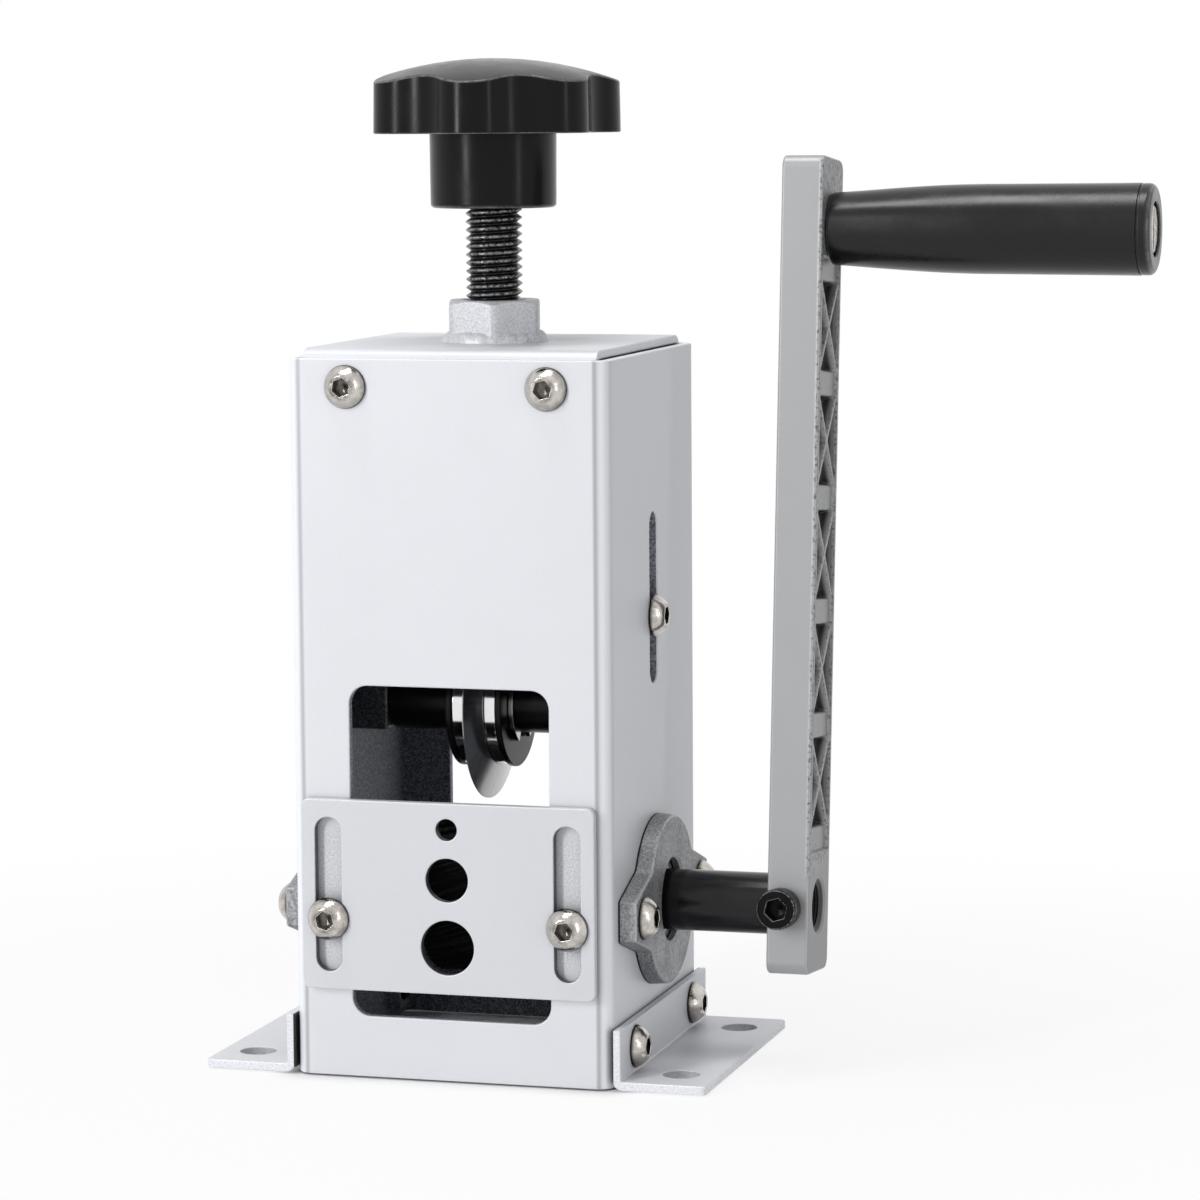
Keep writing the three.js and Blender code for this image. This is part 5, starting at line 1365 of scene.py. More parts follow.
def grub_shell(side):
    """A grub screw's end, with its hollow, just below the carrier's back face."""
    line = hexagon(2.0, 0.1, hole=True)
    r, low, top = GRUB_RADIUS, AXLE_END + FIT, CARRIER_HALF_DEPTH - FIT
    corners = [(0, low), (r, low), (r, top), (r - 0.5, top)]
    shell = turned(path(corners, [0, 0, 0.25, 0], closed=False), sides=24)
    shell.cap([circle(r - 0.5, sides=24).points, line.grown(-0.1)], top, 1)
    shell.walls(line, side_section(top - 1.0, top, 0, 0.1)).cap([line.points[::-1]], top - 1.0, 1)
    return seated(shell, (side * (CARRIER_HALF + CARRIER_INNER) / 2, 0, AXLE_HEIGHT), (0, 1, 0))


def clip_line(inner, outer):
    """A retaining ring: a ring with an open mouth below.

    It narrows from its ends to its middle: with b going once round from one end to the other, the outer
    radius drops by 0.044 of the ring's width times 1 - cos(b).
    """
    share = np.linspace(0, 1, 96)
    angle = -QUARTER + CLIP_MOUTH / 2 + share * (TURN - CLIP_MOUTH)
    narrow = 0.044 * (outer - inner) * (1 - np.cos(share * TURN))
    outside = spoke(angle) * (outer - narrow)[:, None]
    return curve(np.concatenate([outside, spoke(angle[::-1]) * inner]), closed=True)


def knob_line():
    """The star knob's outline: equal round lobes, joined by hollow arcs that meet them smoothly.

    The lobes' middles lie at L = R - r. A hollow's radius h puts its middle at W + h and makes the middles
    r + h apart, so by the cosine rule h = (r^2 - L^2 - W^2 + 2 L W cos a) / (2 (W - L cos a - r)), with a
    half a lobe's turn.
    """
    half = math.pi / LOBES
    far = KNOB_RADIUS - LOBE_RADIUS
    over = LOBE_RADIUS**2 - far**2 - WAIST_RADIUS**2 + 2 * far * WAIST_RADIUS * math.cos(half)
    hollow = over / (2 * (WAIST_RADIUS - far * math.cos(half) - LOBE_RADIUS))
    out = WAIST_RADIUS + hollow
    meet = math.atan2(out * math.sin(half), out * math.cos(half) - far)
    bend = np.linspace(-meet, meet, 21)[:-1]
    dip = np.linspace(meet - half, half - meet, 17)[:-1]
    lobe = (KNOB_TURN + 2 * half * np.arange(LOBES))[:, None]
    round_part = far * spoke(lobe) + LOBE_RADIUS * spoke(lobe + bend)
    hollow_part = out * spoke(lobe + half) - hollow * spoke(lobe + half + dip)
    points = np.concatenate([round_part, hollow_part], 1)
    facing = np.concatenate([spoke(lobe + bend), spoke(lobe + half + dip)], 1)
    return Line(points.reshape(-1, 2), facing.reshape(-1, 2))


def knob_shell():
    """The star knob: its outline rises with a slight draft to a dome, a cap of a sphere of radius S.

    At a distance r from the middle the dome's height is S - sqrt(S^2 - r^2) below its top, so the rim is
    lower at the lobes than between them. The hub below is turned.
    """
    line = knob_line()
    top = RIM_BOTTOM + RIM_HEIGHT + CROWN
    sphere = (KNOB_RADIUS**2 + CROWN**2) / (2 * CROWN)

    def dome(flat):
        return top - sphere + np.sqrt(sphere**2 - (flat**2).sum(-1))

    edge, foot, bend = 0.5, KNOB_FOOT, np.linspace(0, QUARTER, 6)
    arc = [(1 - math.cos(t), 1 - math.sin(t)) for t in bend]
    rows = [raised(line.grown(-foot * back), RIM_BOTTOM + foot * down) for back, down in arc[::-1]]
    rise = dome(line.grown(-KNOB_DRAFT)) - edge - RIM_BOTTOM - foot
    rows += [raised(line.grown(-KNOB_DRAFT * s), RIM_BOTTOM + foot + s * rise) for s in (0.5, 1)]
    for back, down in arc[1:]:
        flat = line.grown(-KNOB_DRAFT - edge * back)
        rows.append(raised(flat, dome(flat) - edge * down))
    inner = line.grown(-KNOB_DRAFT - edge)
    shares = (0.97, 0.92, 0.85, 0.76, 0.65, 0.52, 0.38, 0.24, 0.1)
    rows += [raised(inner * s, dome(inner * s)) for s in shares]
    points = np.stack(rows)
    points = np.concatenate([points, np.broadcast_to((0, 0, top), points[:1].shape)])
    facing = facing_of(points, raised(line.facing, 0.5)[None])
    facing[-1] = (0, 0, 1)
    # The rows round the edges' arcs carry the edge mark: pale lines, partly abrasion and partly painted
    # highlight
    wear = np.zeros(len(points))
    wear[:6], wear[8:13] = np.sin(2 * bend), np.sin(2 * bend[1:])
    shell = Shell().grid(points, facing, round_columns=True, marks=edge_marks(wear, points))
    shell.cap([line.grown(-foot)], RIM_BOTTOM, -1)
    corners = [(HUB_BORE, KNOB_BOTTOM + 2), (HUB_BORE, KNOB_BOTTOM)]
    corners += [(HUB_RADIUS - 0.15, KNOB_BOTTOM), (HUB_RADIUS, RIM_BOTTOM + 0.2)]
    return shell.add(turned(path(corners, [0, 0.5, 1.0, 0], closed=False), sides=96))


def thread_shell():
    """The adjusting screw: a right-hand thread on a core, above a smooth neck.

    Each of the thread's four faces is a band between two of its profile's corners. At an angle a a corner's
    height is its own share of the pitch plus a / 360 of a pitch, and its radius stays the same.
    """
    own = sizes()
    pitch, radius, depth = own.thread_pitch / MM, own.thread_radius / MM, own.thread_depth / MM
    low, high = CARRIER_TOP + FIT, KNOB_BOTTOM + 1.0
    turns = math.ceil((high - low) / pitch)
    angle = np.linspace(0, turns * TURN, turns * 48 + 1)
    profile = [(0.0, radius), (0.15, radius), (0.52, radius - depth), (0.63, radius - depth), (1.0, radius)]
    shell = Shell()
    for (share_a, r_a), (share_b, r_b) in zip(profile[:-1], profile[1:]):
        rows = []
        for share, r in ((share_a, r_a), (share_b, r_b)):
            height = low + pitch * (share + angle / TURN)
            out = np.where((height <= high) & (height >= low), r, radius - depth)
            rows.append(raised(spoke(angle) * out[:, None], np.clip(height, low, high)))
        slope = unit(np.array([pitch * (share_b - share_a), -(r_b - r_a)]))
        facing = raised(spoke(angle) * slope[0], slope[1])
        # The crests carry the edge mark: steel showing, standing in also for a painted highlight along each
        # crest
        crest = [[(float(r == radius), 0.0)] * len(angle) for r in (r_a, r_b)]
        shell.grid(np.stack(rows), np.stack([facing, facing]), marks=crest)
    core = radius - depth - 0.02
    corners = [(0, ADJUST_BOTTOM), (NECK_RADIUS, ADJUST_BOTTOM), (NECK_RADIUS, low)]
    corners += [(core, low), (core, high), (0, high)]
    return shell.add(turned(path(corners, [0, 0.6, 0, 0.2, 0, 0], closed=False), sides=48))


# Pieces of the crank


def roller_shell():
    """The feed roller, whose leaning grooves are a wave of the angle plus a twist of the place along it.

    With p the place in one groove from 0 to 1, the depth is the knurl's times 2.6 |p - 0.5| - 0.15, held
    between 0 and 1. Within the last millimetre at each end the radius drops by a millimetre.
    """
    teeth, depth = sizes().knurl_teeth, sizes().knurl_depth / MM
    lean = math.tan(sizes().knurl_twist) / ROLLER_RADIUS
    columns = teeth * 8
    angle = np.arange(columns) * TURN / columns
    half = ROLLER_HALF
    place = np.concatenate([[-half, -half + 0.5], np.linspace(1 - half, half - 1, 17), [half - 0.5, half]])
    phase = ((angle[None] + lean * place[:, None]) * teeth / TURN) % 1
    wave = np.clip(np.abs(phase - 0.5) * 2.6 - 0.15, 0, 1)
    ends = np.maximum(0.0, 1 - (half - np.abs(place)))[:, None]
    radius = ROLLER_RADIUS - np.maximum(depth * wave, ends)
    points = raised(spoke(angle)[None] * radius[..., None], place[:, None])[..., ORDER["x"]]
    out = raised(spoke(angle)[None], 0.0)[..., ORDER["x"]]
    shell = Shell().grid(points, facing_of(points, out), round_columns=True)
    bore = circle(ROLLER_MOUTH, sides=48, hole=True)
    for row, way in ((0, -1), (-1, 1)):
        shell.cap([points[row][:, 1:], bore.points], place[row], way, "x")
        corners = [(ROLLER_MOUTH, way * half), (SHAFT_BORE, way * (half - ROLLER_CHAMFER))]
        inner = turned(path(corners, closed=False), "x", sides=48)
        inner.facing *= way
        shell.add(inner)
    bore = path([(SHAFT_BORE, half - ROLLER_CHAMFER), (SHAFT_BORE, ROLLER_CHAMFER - half)], closed=False)
    return on_crank(shell.add(turned(bore, "x", sides=48)))


def channel_grid():
    """The arm's ribbed channel, as depths below its outer face on a grid.

    The depth is the smallest of the floor's, the pads', the ribs' and the walls', each of which grows with
    the distance from its own edge. They are met smoothly by -k ln(sum of exp(-depth / k)).
    """
    draft, width = sizes().rib_draft / MM, sizes().rib_width / MM
    across = np.linspace(-CHANNEL_HALF, CHANNEL_HALF, 72)
    along = np.linspace(0, CHANNEL_LENGTH, 420)
    u, v = np.meshgrid(across, along, indexing="ij")
    pitch = (CHANNEL_LENGTH - PAD_LENGTH) / CELLS
    within = v % pitch
    slope = CHANNEL_DEPTH / draft
    from_pad = np.minimum(np.maximum(within - PAD_LENGTH, 0), pitch - within)
    from_pad = np.where(v > CHANNEL_LENGTH - PAD_LENGTH, 0, from_pad)
    half_length, half_width = (pitch - PAD_LENGTH) / 2, CHANNEL_HALF
    run = within - PAD_LENGTH - half_length
    size = math.hypot(half_length, half_width)
    crossing = [np.abs(u * half_length - way * run * half_width) / size - width / 2 for way in (-1, 1)]
    from_rib = np.maximum(np.minimum(*crossing), 0)
    from_rib = np.where(within < PAD_LENGTH, 9, from_rib)
    from_wall = np.minimum(CHANNEL_HALF - np.abs(u), np.minimum(v, CHANNEL_LENGTH - v))
    depths = [np.full_like(u, CHANNEL_DEPTH), PAD_DROP + slope * from_pad]
    depths += [RIB_DROP + slope * from_rib, 1.3 * slope * from_wall]
    k = 0.12
    depth = -k * np.log(sum(np.exp(-np.minimum(d, 9) / k) for d in depths))
    depth = np.clip(depth, 0, CHANNEL_DEPTH)
    depth[[0, -1]], depth[:, [0, -1]] = 0, 0
    points = np.stack([ARM_OUTER - depth, u, v + CHANNEL_START], -1)
    # The depth mark paints shade in the channel's pockets
    marks = np.stack([np.zeros_like(depth), depth / CHANNEL_DEPTH], -1)
    return points, facing_of(points, np.array([1.0, 0, 0]), round_columns=False), marks


def arm_shell():
    """The crank arm: a bar with rounded edges, a ribbed channel, and holes for the shaft and the bolt."""
    length = ARM_TAIL + ARM_THROW + ARM_HEAD
    line = box(2 * ARM_HALF, length, ARM_CORNER, (0, length / 2 - ARM_TAIL))
    edge = sizes().arm_edge / MM
    shell = Shell().walls(line, side_section(ARM_INNER, ARM_OUTER, edge, edge), "x")
    points, facing, marks = channel_grid()
    shell.grid(points, facing, marks=marks)
    flat = points[..., 1:]
    border = np.concatenate([flat[0, :-1], flat[:-1, -1], flat[-1, :0:-1], flat[:0:-1, 0]])
    bolt = circle(BOLT_BORE, (0, ARM_THROW), 32, hole=True)
    mouth, bore = circle(ARM_MOUTH, hole=True), circle(SHAFT_BORE, hole=True)
    shell.cap([line.grown(-edge), border, mouth.points, bolt.points], ARM_OUTER, 1, "x")
    shell.cap([line.grown(-edge), bore.points, bolt.points], ARM_INNER, -1, "x")
    crests = [(ARM_HOLE - 0.45 * (i % 2), ARM_OUTER - 1.0 - 0.35 * i) for i in range(7)]
    corners = [(ARM_MOUTH, ARM_OUTER), *crests, (ARM_HOLE, ARM_SEAT)]
    corners += [(SHAFT_BORE, ARM_SEAT), (SHAFT_BORE, ARM_INNER)]
    hole = turned(path(corners, closed=False), "x", sides=48)
    # Painted shade down the threaded hole; the mouth's rim carries the edge mark, lightened as abrasion and
    # painted highlight
    hole.marks[:, 1] = hole.points[:, 0] < ARM_OUTER - 0.9
    hole.marks[:, 0] = hole.points[:, 0] > ARM_OUTER - 0.1
    drill = path([(BOLT_BORE, ARM_OUTER), (BOLT_BORE, ARM_INNER)], closed=False)
    return on_crank(shell.add(hole).add(turned(drill, "x", (0, 0, ARM_THROW), 32)))


def grip_shell():
    """The turning grip: a smooth swelling line, a fine groove near its end, a pocket for the bolt's head.

    With s from 0 at its root to 1 at the groove, its radius grows from root to belly with the sine of a
    quarter turn times s / 0.52, to the power of 1.15, and from belly to tip with ((s - 0.45) / 0.55)^1.5.
    """
    share = np.linspace(0, 1, 40)
    first, lip, bore, tip = GRIP_START + GRIP_LIP, GRIP_GROOVE, GRIP_BORE, GRIP_TIP
    swell = GRIP_ROOT + (GRIP_BELLY - GRIP_ROOT) * np.sin(QUARTER * np.minimum(share / 0.52, 1)) ** 1.15
    swell = swell + (tip - GRIP_BELLY) * np.clip((share - 0.45) / 0.55, 0, 1) ** 1.5
    body = curve(np.stack([swell, first + (lip - first) * share], -1))
    root = [(bore, GRIP_START), (GRIP_ROOT, GRIP_START), (GRIP_ROOT, first)]
    start = path(root, [0, 0.55, 0], closed=False)
    radius, depth = GRIP_POCKET
    corners = [(tip, lip), (tip - 0.5, lip + 0.1), (tip - 0.5, lip + 0.5), (tip - 0.1, lip + 0.6)]
    corners += [(tip - 0.1, GRIP_END), (radius, GRIP_END), (radius, GRIP_END - depth)]
    corners += [(bore, GRIP_END - depth), (bore, GRIP_START)]
    finish = path(corners, [0, 0.05, 0.05, 0.1, 1.5, 0.5, 0.2, 0, 0], closed=False)
    return on_crank(turned(chain(start, body, finish), "x", (0, 0, ARM_THROW), 96))


def bolt_shell():
    """The bolt that the grip turns on: a round head with a screwdriver's slot."""
    radius, high = GRIP_HEAD
    seat = GRIP_END - GRIP_POCKET[1] + 0.3
    top, rim = seat + high, radius - 0.8
    stem = [(0, ARM_INNER), (BOLT_RADIUS, ARM_INNER), (BOLT_RADIUS, seat)]
    stem += [(radius, seat), (radius, top), (rim, top)]
    shell = turned(path(stem, [0, 0.5, 0, 0.2, 0.7, 0], closed=False), "x", sides=48)
    wide, long, deep = BOLT_SLOT
    slot = box(wide, long, 0.3, hole=True, steps=3)
    shell.cap([circle(rim).points, slot.grown(-0.15)], top, 1, "x")
    shell.walls(slot, side_section(top - deep, top, 0, 0.15), "x")
    shell.cap([slot.points[::-1]], top - deep, 1, "x")
    return on_crank(Shell().add(shell, move=(0, 0, ARM_THROW)))


def shaft_shell():
    """The drive shaft: a round bar with chamfered ends and a centre drilled in each."""
    r, cut, (drill, deep) = SHAFT_RADIUS, SHAFT_CHAMFER, SHAFT_DRILL
    corners = []
    for end, way in ((SHAFT_LEFT, 1), (SHAFT_RIGHT, -1)):
        corners += [(0, end + way * deep), (drill, end), (r - cut, end), (r, end + way * cut)][::way]
    return on_crank(turned(path(corners, [0, 0, 0.15, 0.15, 0.15, 0.15, 0, 0], closed=False), "x", sides=72))


# Operators


class STRIPPER_OT_stage(Operator):
    """Sets the pale floor, the soft studio lights, the white surround and the camera"""

    bl_idname = "stripper.stage"
    bl_label = "Stage"

    def execute(self, context):
        build_floor()
        build_lights()
        build_camera()
        return {"FINISHED"}


class STRIPPER_OT_housing(Operator):
    """Makes the square tube and the folded lid, with the nuts welded inside them"""

    bl_idname = "stripper.housing"
    bl_label = "Housing"

    def execute(self, context):
        make("tube", tube_shell(), enamel("tube_enamel", two_sided=True), "housing_tube")
        make("folded_lid", lid_shell(), enamel("lid_enamel", dim=0.98), "lid")
        return {"FINISHED"}


class STRIPPER_OT_top_nut(Operator):
    """Makes the hexagon nut on the lid and its weld bead"""

    bl_idname = "stripper.top_nut"
    bl_label = "Top Nut"

    def execute(self, context):
        # The nut is the housing's enamel dimmed to 0.93: painted shade on the same paint
        make("welded_nut", nut_shell(), enamel("nut_enamel", dim=0.93, coarse=0.36), "screw_nut")
        return {"FINISHED"}


class STRIPPER_OT_feet(Operator):
    """Makes the two angle feet"""

    bl_idname = "stripper.feet"
    bl_label = "Feet"

    def execute(self, context):
        paint = enamel("foot_enamel", gap_shade=(0, HALF + GAP_SHADE_REACH))
        for name, side in SIDES.items():
            make(f"angle_foot_{name}", foot_shell(side), paint, f"foot_{name}")
        return {"FINISHED"}


class STRIPPER_OT_bearings(Operator):
    """Makes the two cast flanges and the sealed ball bearings in them"""

    bl_idname = "stripper.bearings"
    bl_label = "Bearings"

    def execute(self, context):
        cast, rubber = casting("flange_casting"), dark_seal("seal_rubber")
        # The races' steel is a darker copy of the polished steel: painted shade, as they sit deep in the
        # flange
        steel = polished("bearing_steel", (0, 0, SHAFT_HEIGHT), shade(colours().polished, 0.6), rough=0.2)
        for name, side in SIDES.items():
            make(f"cast_flange_{name}", flange_shell(side), cast, f"bearing_flange_{name}")
            outer, seal, inner = bearing_shells(side)
            make(f"outer_race_{name}", outer, steel, f"bearing_outer_{name}")
            make(f"inner_race_{name}", inner, steel, f"bearing_inner_{name}")
            make(f"bearing_seal_{name}", seal, rubber, f"bearing_outer_{name}")
        return {"FINISHED"}


class STRIPPER_OT_screws(Operator):
    """Makes the sixteen button head screws"""

    bl_idname = "stripper.screws"
    bl_label = "Button Head Screws"

    def execute(self, context):
        bright = nickel("screw_nickel")
        beyond = SMALL_NUT_HEIGHT + SCREW_TAIL
        kinds = (
            ("lid_screw", LID_SEATS, LID_GRIP + beyond),
            ("foot_screw", FOOT_SEATS, FOOT_GRIP + beyond),
            ("flange_screw", FLANGE_SEATS, FLANGE_GRIP + beyond),
            ("guide_screw", GUIDE_SEATS, GUIDE_GRIP + beyond),
            ("carrier_screw", CARRIER_SEATS, CARRIER_SCREW_LENGTH),
        )
        spin = 0.35
        for kind, seats, length in kinds:
            for name, (at, facing) in seats.items():
                foot = HEAD_STAND_OFF if kind == "guide_screw" else 0.0
                shell = seated(button_shell(length, foot), at, facing, spin)
                make(f"bright_{kind}_{name}", shell, bright, f"{kind}_{name}")
                spin += 0.47
        return {"FINISHED"}


class STRIPPER_OT_guide(Operator):
    """Makes the guide plate"""

    bl_idname = "stripper.guide"
    bl_label = "Guide Plate"

    def execute(self, context):
        paint = enamel("guide_enamel", dim=0.9, gap_shade=(1, GUIDE_BACK + GAP_SHADE_REACH))
        make("guide", guide_shell(), paint, "guide_plate")
        return {"FINISHED"}


class STRIPPER_OT_carrier(Operator):
    """Makes the blade's carrier, its axle, the grub screws, washers and retaining rings"""

    bl_idname = "stripper.carrier"
    bl_label = "Blade Carrier"

    def execute(self, context):
        steel = oxide("carrier_oxide", 0.42, 1.6, 0.16, gloss=0.35, bared_and_highlight=0.9, pale=4.4, speck=0.8)
        smooth = oxide("axle_oxide", 0.26)
        make("carrier_arch", carrier_shell(), steel, "blade_carrier")
        r, step, inner, outer = AXLE_RADIUS, AXLE_END, CARRIER_INNER - FIT, CARRIER_HALF - FIT
        corners = [(0, -outer), (step, -outer), (step, -inner), (r, -inner)]
        corners += [(r, inner), (step, inner), (step, outer), (0, outer)]
        section = path(corners, [0, 0.5, 0, 0.4, 0.4, 0, 0.5, 0], closed=False)
        make("axle", turned(section, "x", (0, 0, AXLE_HEIGHT)), smooth, "blade_axle")
        bright = polished("ring_clip_steel", (0, 0, AXLE_HEIGHT), shade(colours().polished, 0.8), rough=0.18)
        near = BLADE_THICK / 2 + RING_WIDTH + FIT
        far = near + WASHER_THICK + FIT
        centre = (BLADE_MIDDLE, 0, AXLE_HEIGHT)
        for name, side in SIDES.items():
            make(f"grub_{name}", grub_shell(side), smooth, f"axle_grub_{name}")
            low, high = sorted((side * near, side * (near + WASHER_THICK)))
            washer = ring(AXLE_BORE, WASHER_RADIUS, low, high, axis="x", centre=centre, sides=96)
            make(f"washer_{name}", washer, smooth, f"thrust_washer_{name}")
            low, high = sorted((side * far, side * (far + CLIP_THICK)))
            clip = Shell().add(plate([clip_line(*AXLE_CLIP)], low, high, "x", 0.15), move=centre)
            make(f"axle_clip_{name}", clip, bright, f"blade_clip_{name}")
        return {"FINISHED"}


class STRIPPER_OT_blade(Operator):
    """Makes the round blade, its bush and the polished rings beside it"""

    bl_idname = "stripper.blade"
    bl_label = "Blade"

    def execute(self, context):
        centre = (BLADE_MIDDLE, 0, AXLE_HEIGHT)
        half = BLADE_THICK / 2
        corners = [(BUSH_BORE, -half), (BLADE_LAND, -half), (BLADE_RADIUS, -BLADE_RIM)]
        corners += [(BLADE_RADIUS, BLADE_RIM), (BLADE_LAND, half), (BUSH_BORE, half)]
        disc = turned(path(corners, [0.2, 0.4, 0, 0, 0.4, 0.2]), "x", centre, 160, closed=True)
        make("blade", disc, blade_finish("blade_steel"), "cutting_disc")
        bright = polished("polished_steel", centre, colours().polished, rough=0.07)
        at = {"axis": "x", "centre": centre, "sides": 96}
        stack = half + RING_WIDTH
        make("bush", ring(AXLE_BORE, BUSH_RADIUS, -stack, stack, 0.2, **at), bright, "blade_bush")
        for name, side in SIDES.items():
            low, high = sorted((side * half, side * stack))
            collar = ring(BUSH_BORE, RING_RADIUS, low, high, 0.35, **at)
            make(f"polished_ring_{name}", collar, bright, f"blade_ring_{name}")
        return {"FINISHED"}


class STRIPPER_OT_adjuster(Operator):
    """Makes the threaded adjusting screw, its retainer and the star knob"""

    bl_idname = "stripper.adjuster"
    bl_label = "Adjusting Screw and Knob"

    def execute(self, context):
        steel = oxide("thread_oxide", 0.2, gloss=0.3, bared_and_highlight=0.8)
        make("adjuster_thread", thread_shell(), steel, "adjusting_screw")
        make("star_grip", knob_shell(), moulded("knob_plastic", 0.17, 0.16), "star_knob")
        bright = nickel("retainer_nickel")
        make("neck_washer", ring(*NECK_WASHER, *NECK_WASHER_HEIGHTS, 0.15), bright, "retainer_washer")
        clip = plate([clip_line(*NECK_CLIP)], *NECK_CLIP_HEIGHTS, edge=0.12)
        make("neck_clip", clip, bright, "retainer_clip")
        return {"FINISHED"}


class STRIPPER_OT_drive(Operator):
    """Makes the drive shaft, its key, the knurled feed roller and the spacer sleeves"""

    bl_idname = "stripper.drive"
    bl_label = "Shaft and Feed Roller"

    def execute(self, context):
        smooth = oxide("shaft_oxide", 0.13, gloss=0.4)
        make("shaft", shaft_shell(), smooth, "drive_shaft")
        make("knurled_roller", roller_shell(), oxide("roller_oxide", 0.34), "feed_roller")
        key = plate([box(KEY_LENGTH, KEY_SIDE, 0.4)], *KEY_HEIGHTS, edge=0.3)
        make("key", on_crank(key), nickel("key_zinc"), "drive_key")
        for name, side in SIDES.items():
            low, high = sorted((side * ROLLER_HALF, side * (BEARING_FACE - BEARING_WIDTH)))
            sleeve = ring(SHAFT_BORE, SHAFT_BORE + SPACER_WALL, low, high, 0.4, axis="x")
            make(f"sleeve_{name}", on_crank(sleeve), smooth, f"spacer_sleeve_{name}")
        return {"FINISHED"}


class STRIPPER_OT_crank(Operator):
    """Makes the crank arm, its clamp screw, the turning grip and the grip's bolt"""

    bl_idname = "stripper.crank"
    bl_label = "Crank Arm and Grip"

    def execute(self, context):
        make("cast_arm", arm_shell(), arm_finish("arm_casting"), "crank_arm")
        steel = oxide("clamp_oxide", 0.24, 2.0, 0.06, gloss=0.12, bared_and_highlight=0.7, pale=0.5)
        make("arm_clamp", clamp_shell(), steel, "clamp_screw")
        make("hand_grip_moulding", grip_shell(), moulded("grip_plastic", 0.2, 0.34), "grip")
        make("grip_pin", bolt_shell(), nickel("pin_zinc"), "grip_bolt")
        return {"FINISHED"}


# Stage


def white_to_the_eye(finish, shader, share=1.0):
    """A shader that camera, mirror and glass rays see as a share of plain white, and other rays as it is."""
    rays = finish.node("ShaderNodeLightPath", out=("Is Camera Ray", "Is Glossy Ray", "Is Transmission Ray"))
    seen = rays[0].math("MAXIMUM", rays[1]).math("MAXIMUM", rays[2])
    kind = "ShaderNodeBackground" if isinstance(finish, Surround) else "ShaderNodeEmission"
    white = finish.node(kind, None, {"Color": WHITE, "Strength": 1.0})
    return finish.node("ShaderNodeMixShader", None, {0: seen * share, 1: shader, 2: white})


class Surround(Finish):
    """The world's nodes, which are made as a finish's are."""

    def __init__(self, world):
        world.use_nodes = True
        self.tree = world.node_tree
        self.tree.nodes.clear()


def build_floor():
    """A pale floor that keeps the object's shadow and fades into the white surround far from it.

    The floor's own light is a share of white. It is nothing within the tube's foot and grows with the
    distance from it, the root of the squares of how far x and y lie beyond the foot.
    """
    finish = Finish("floor_paint")
    where = finish.place()
    far = finish.beyond(finish.parts(where)[:2], FLOOR_SHADED)[1]
    grain = finish.noise(where, 0.02, 3, 0.5)
    base = colours().floor
    colour = finish.mix(grain, shade(base, 0.99), shade(base, 1.01))
    diffuse = finish.node("ShaderNodeBsdfPrincipled", None, {"Base Color": colour, "Roughness": 0.7})
    near_share, far_share = (finish.ramp(far, low, high) * share for low, high, share in FLOOR_FADES)
    mixed = white_to_the_eye(finish, diffuse, near_share + far_share)
    finish.node("ShaderNodeOutputMaterial", None, {"Surface": mixed})
    mesh = bpy.data.meshes.new("studio_floor")
    corners = [(side * y, y, -FLOOR_DROP) for y in (-FLOOR_REACH, FLOOR_REACH) for side in (1, -1)]
    mesh.from_pydata(corners, [], [(0, 1, 2, 3)])
    mesh.materials.append(finish.material)
    floor = bpy.data.objects.new("studio_floor", mesh)
    bpy.context.scene.collection.objects.link(floor)


def area_light(name, place, size, power):
    """A rectangular soft white light, aimed at the object."""
    lamp = bpy.data.lights.new(name, "AREA")
    lamp.shape, lamp.size, lamp.size_y = "RECTANGLE", *size
    lamp.energy = power
    light = bpy.data.objects.new(name, lamp)
    light.location = place
    light.rotation_euler = (Vector(LIGHT_TARGET) - Vector(place)).to_track_quat("-Z", "Y").to_euler()
    bpy.context.scene.collection.objects.link(light)


def build_lights():
    """A tall soft key from the front left, a weak fill from the right, one from above, an even surround."""
    for name, (place, size, power) in LIGHTS.items():
        area_light(name, place, size, power)
    world = bpy.data.worlds.new("studio_surround")
    bpy.context.scene.world = world
    surround = Surround(world)
    even = surround.node("ShaderNodeBackground", None, {"Color": WHITE, "Strength": SURROUND_STRENGTH})
    surround.node("ShaderNodeOutputWorld", None, {"Surface": white_to_the_eye(surround, even)})
    bpy.context.scene.view_settings.view_transform = "Standard"


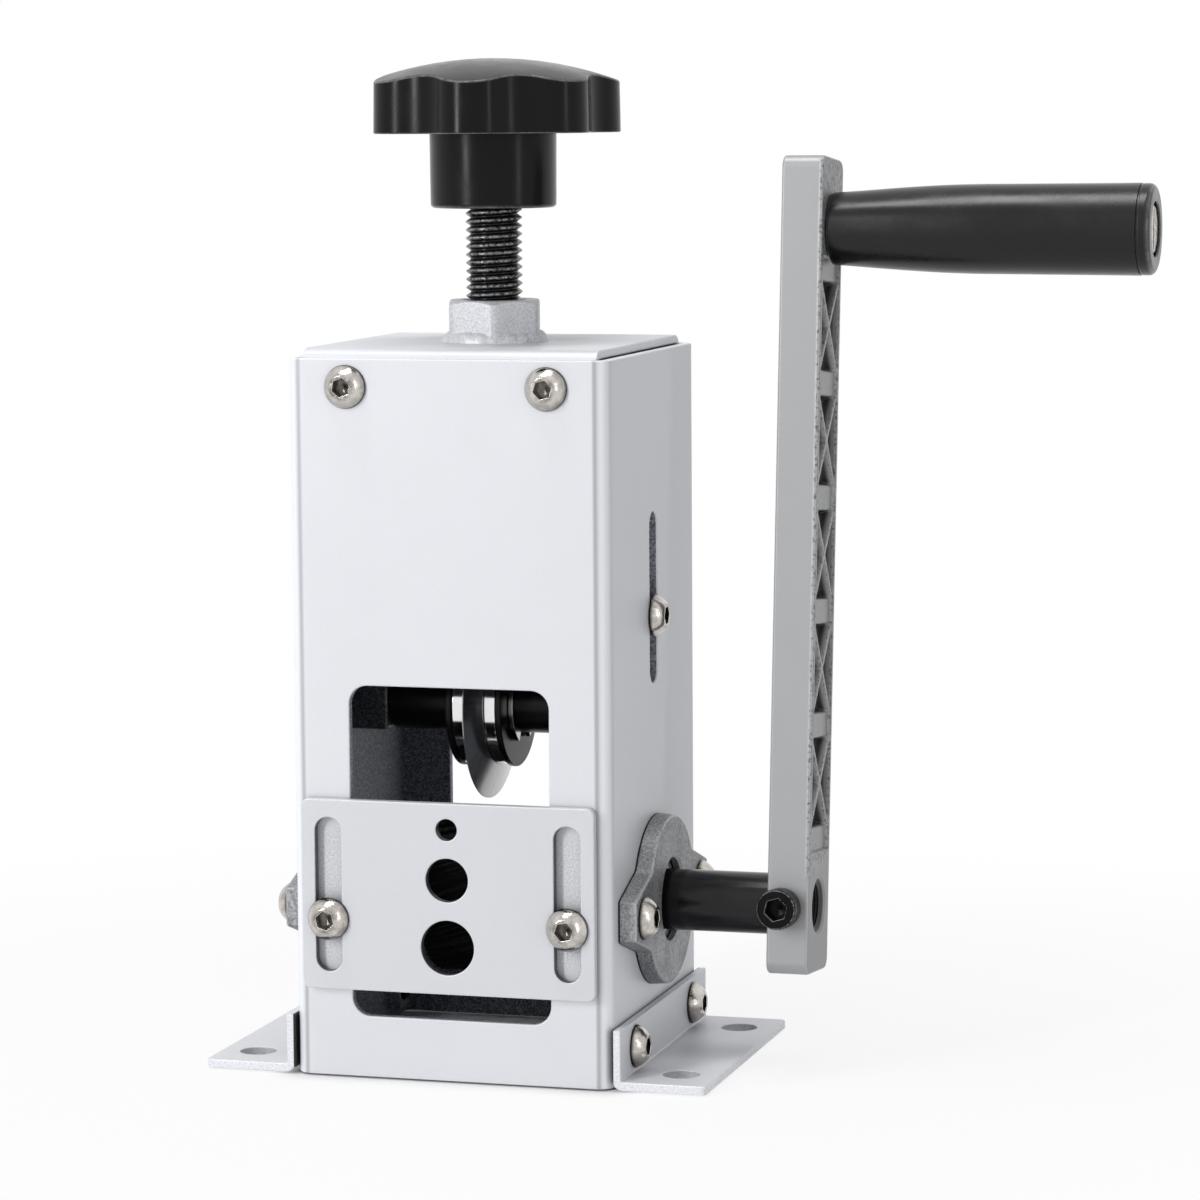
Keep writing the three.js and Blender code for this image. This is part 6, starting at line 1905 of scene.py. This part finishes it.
def build_camera():
    """The photograph's camera: its place and turn were fitted to the tube's corners and edges."""
    camera = bpy.data.cameras.new("photo_camera")
    camera.lens, camera.sensor_width, camera.sensor_fit = CAMERA_LENS, CAMERA_SENSOR, "HORIZONTAL"
    camera.clip_start, camera.clip_end = CAMERA_CLIP
    viewer = bpy.data.objects.new("photo_camera", camera)
    back = Vector(CAMERA_BACK).normalized()
    up = back.cross(Vector(CAMERA_RIGHT)).normalized()
    turn = Matrix((up.cross(back), up, back)).transposed().to_4x4()
    place = (np.array(CAMERA_PLACE) + FOOT) * MM
    viewer.matrix_world = Matrix.Translation(Vector(place)) @ turn
    bpy.context.scene.collection.objects.link(viewer)
    bpy.context.scene.camera = viewer


class STRIPPER_PT_panel(Panel):
    """Lists the operators, the sizes and the colours in the sidebar"""

    bl_label = "Wire Stripper"
    bl_idname = "STRIPPER_PT_panel"
    bl_space_type = "VIEW_3D"
    bl_region_type = "UI"
    bl_category = "Wire Stripper"

    def draw(self, context):
        column = self.layout.column()
        for step in STEPS:
            column.operator(step.bl_idname)
        for group in (context.scene.stripper_sizes, context.scene.stripper_colours):
            for name in group.__annotations__:
                column.prop(group, name)


STEPS = (
    STRIPPER_OT_stage,
    STRIPPER_OT_housing,
    STRIPPER_OT_top_nut,
    STRIPPER_OT_feet,
    STRIPPER_OT_bearings,
    STRIPPER_OT_screws,
    STRIPPER_OT_guide,
    STRIPPER_OT_carrier,
    STRIPPER_OT_blade,
    STRIPPER_OT_adjuster,
    STRIPPER_OT_drive,
    STRIPPER_OT_crank,
)
CLASSES = (StripperSizes, StripperColours, *STEPS, STRIPPER_PT_panel)


def register():
    """Adds the operators, the panel, the sizes and the colours to Blender."""
    for one in CLASSES:
        bpy.utils.register_class(one)
    bpy.types.Scene.stripper_sizes = PointerProperty(type=StripperSizes)
    bpy.types.Scene.stripper_colours = PointerProperty(type=StripperColours)


def unregister():
    """Takes them away again."""
    del bpy.types.Scene.stripper_sizes
    del bpy.types.Scene.stripper_colours
    for one in reversed(CLASSES):
        bpy.utils.unregister_class(one)


def main():
    """Runs the operators in order."""
    register()
    for step in STEPS:
        group, name = step.bl_idname.split(".")
        getattr(getattr(bpy.ops, group), name)()


if __name__ == "__main__":
    main()
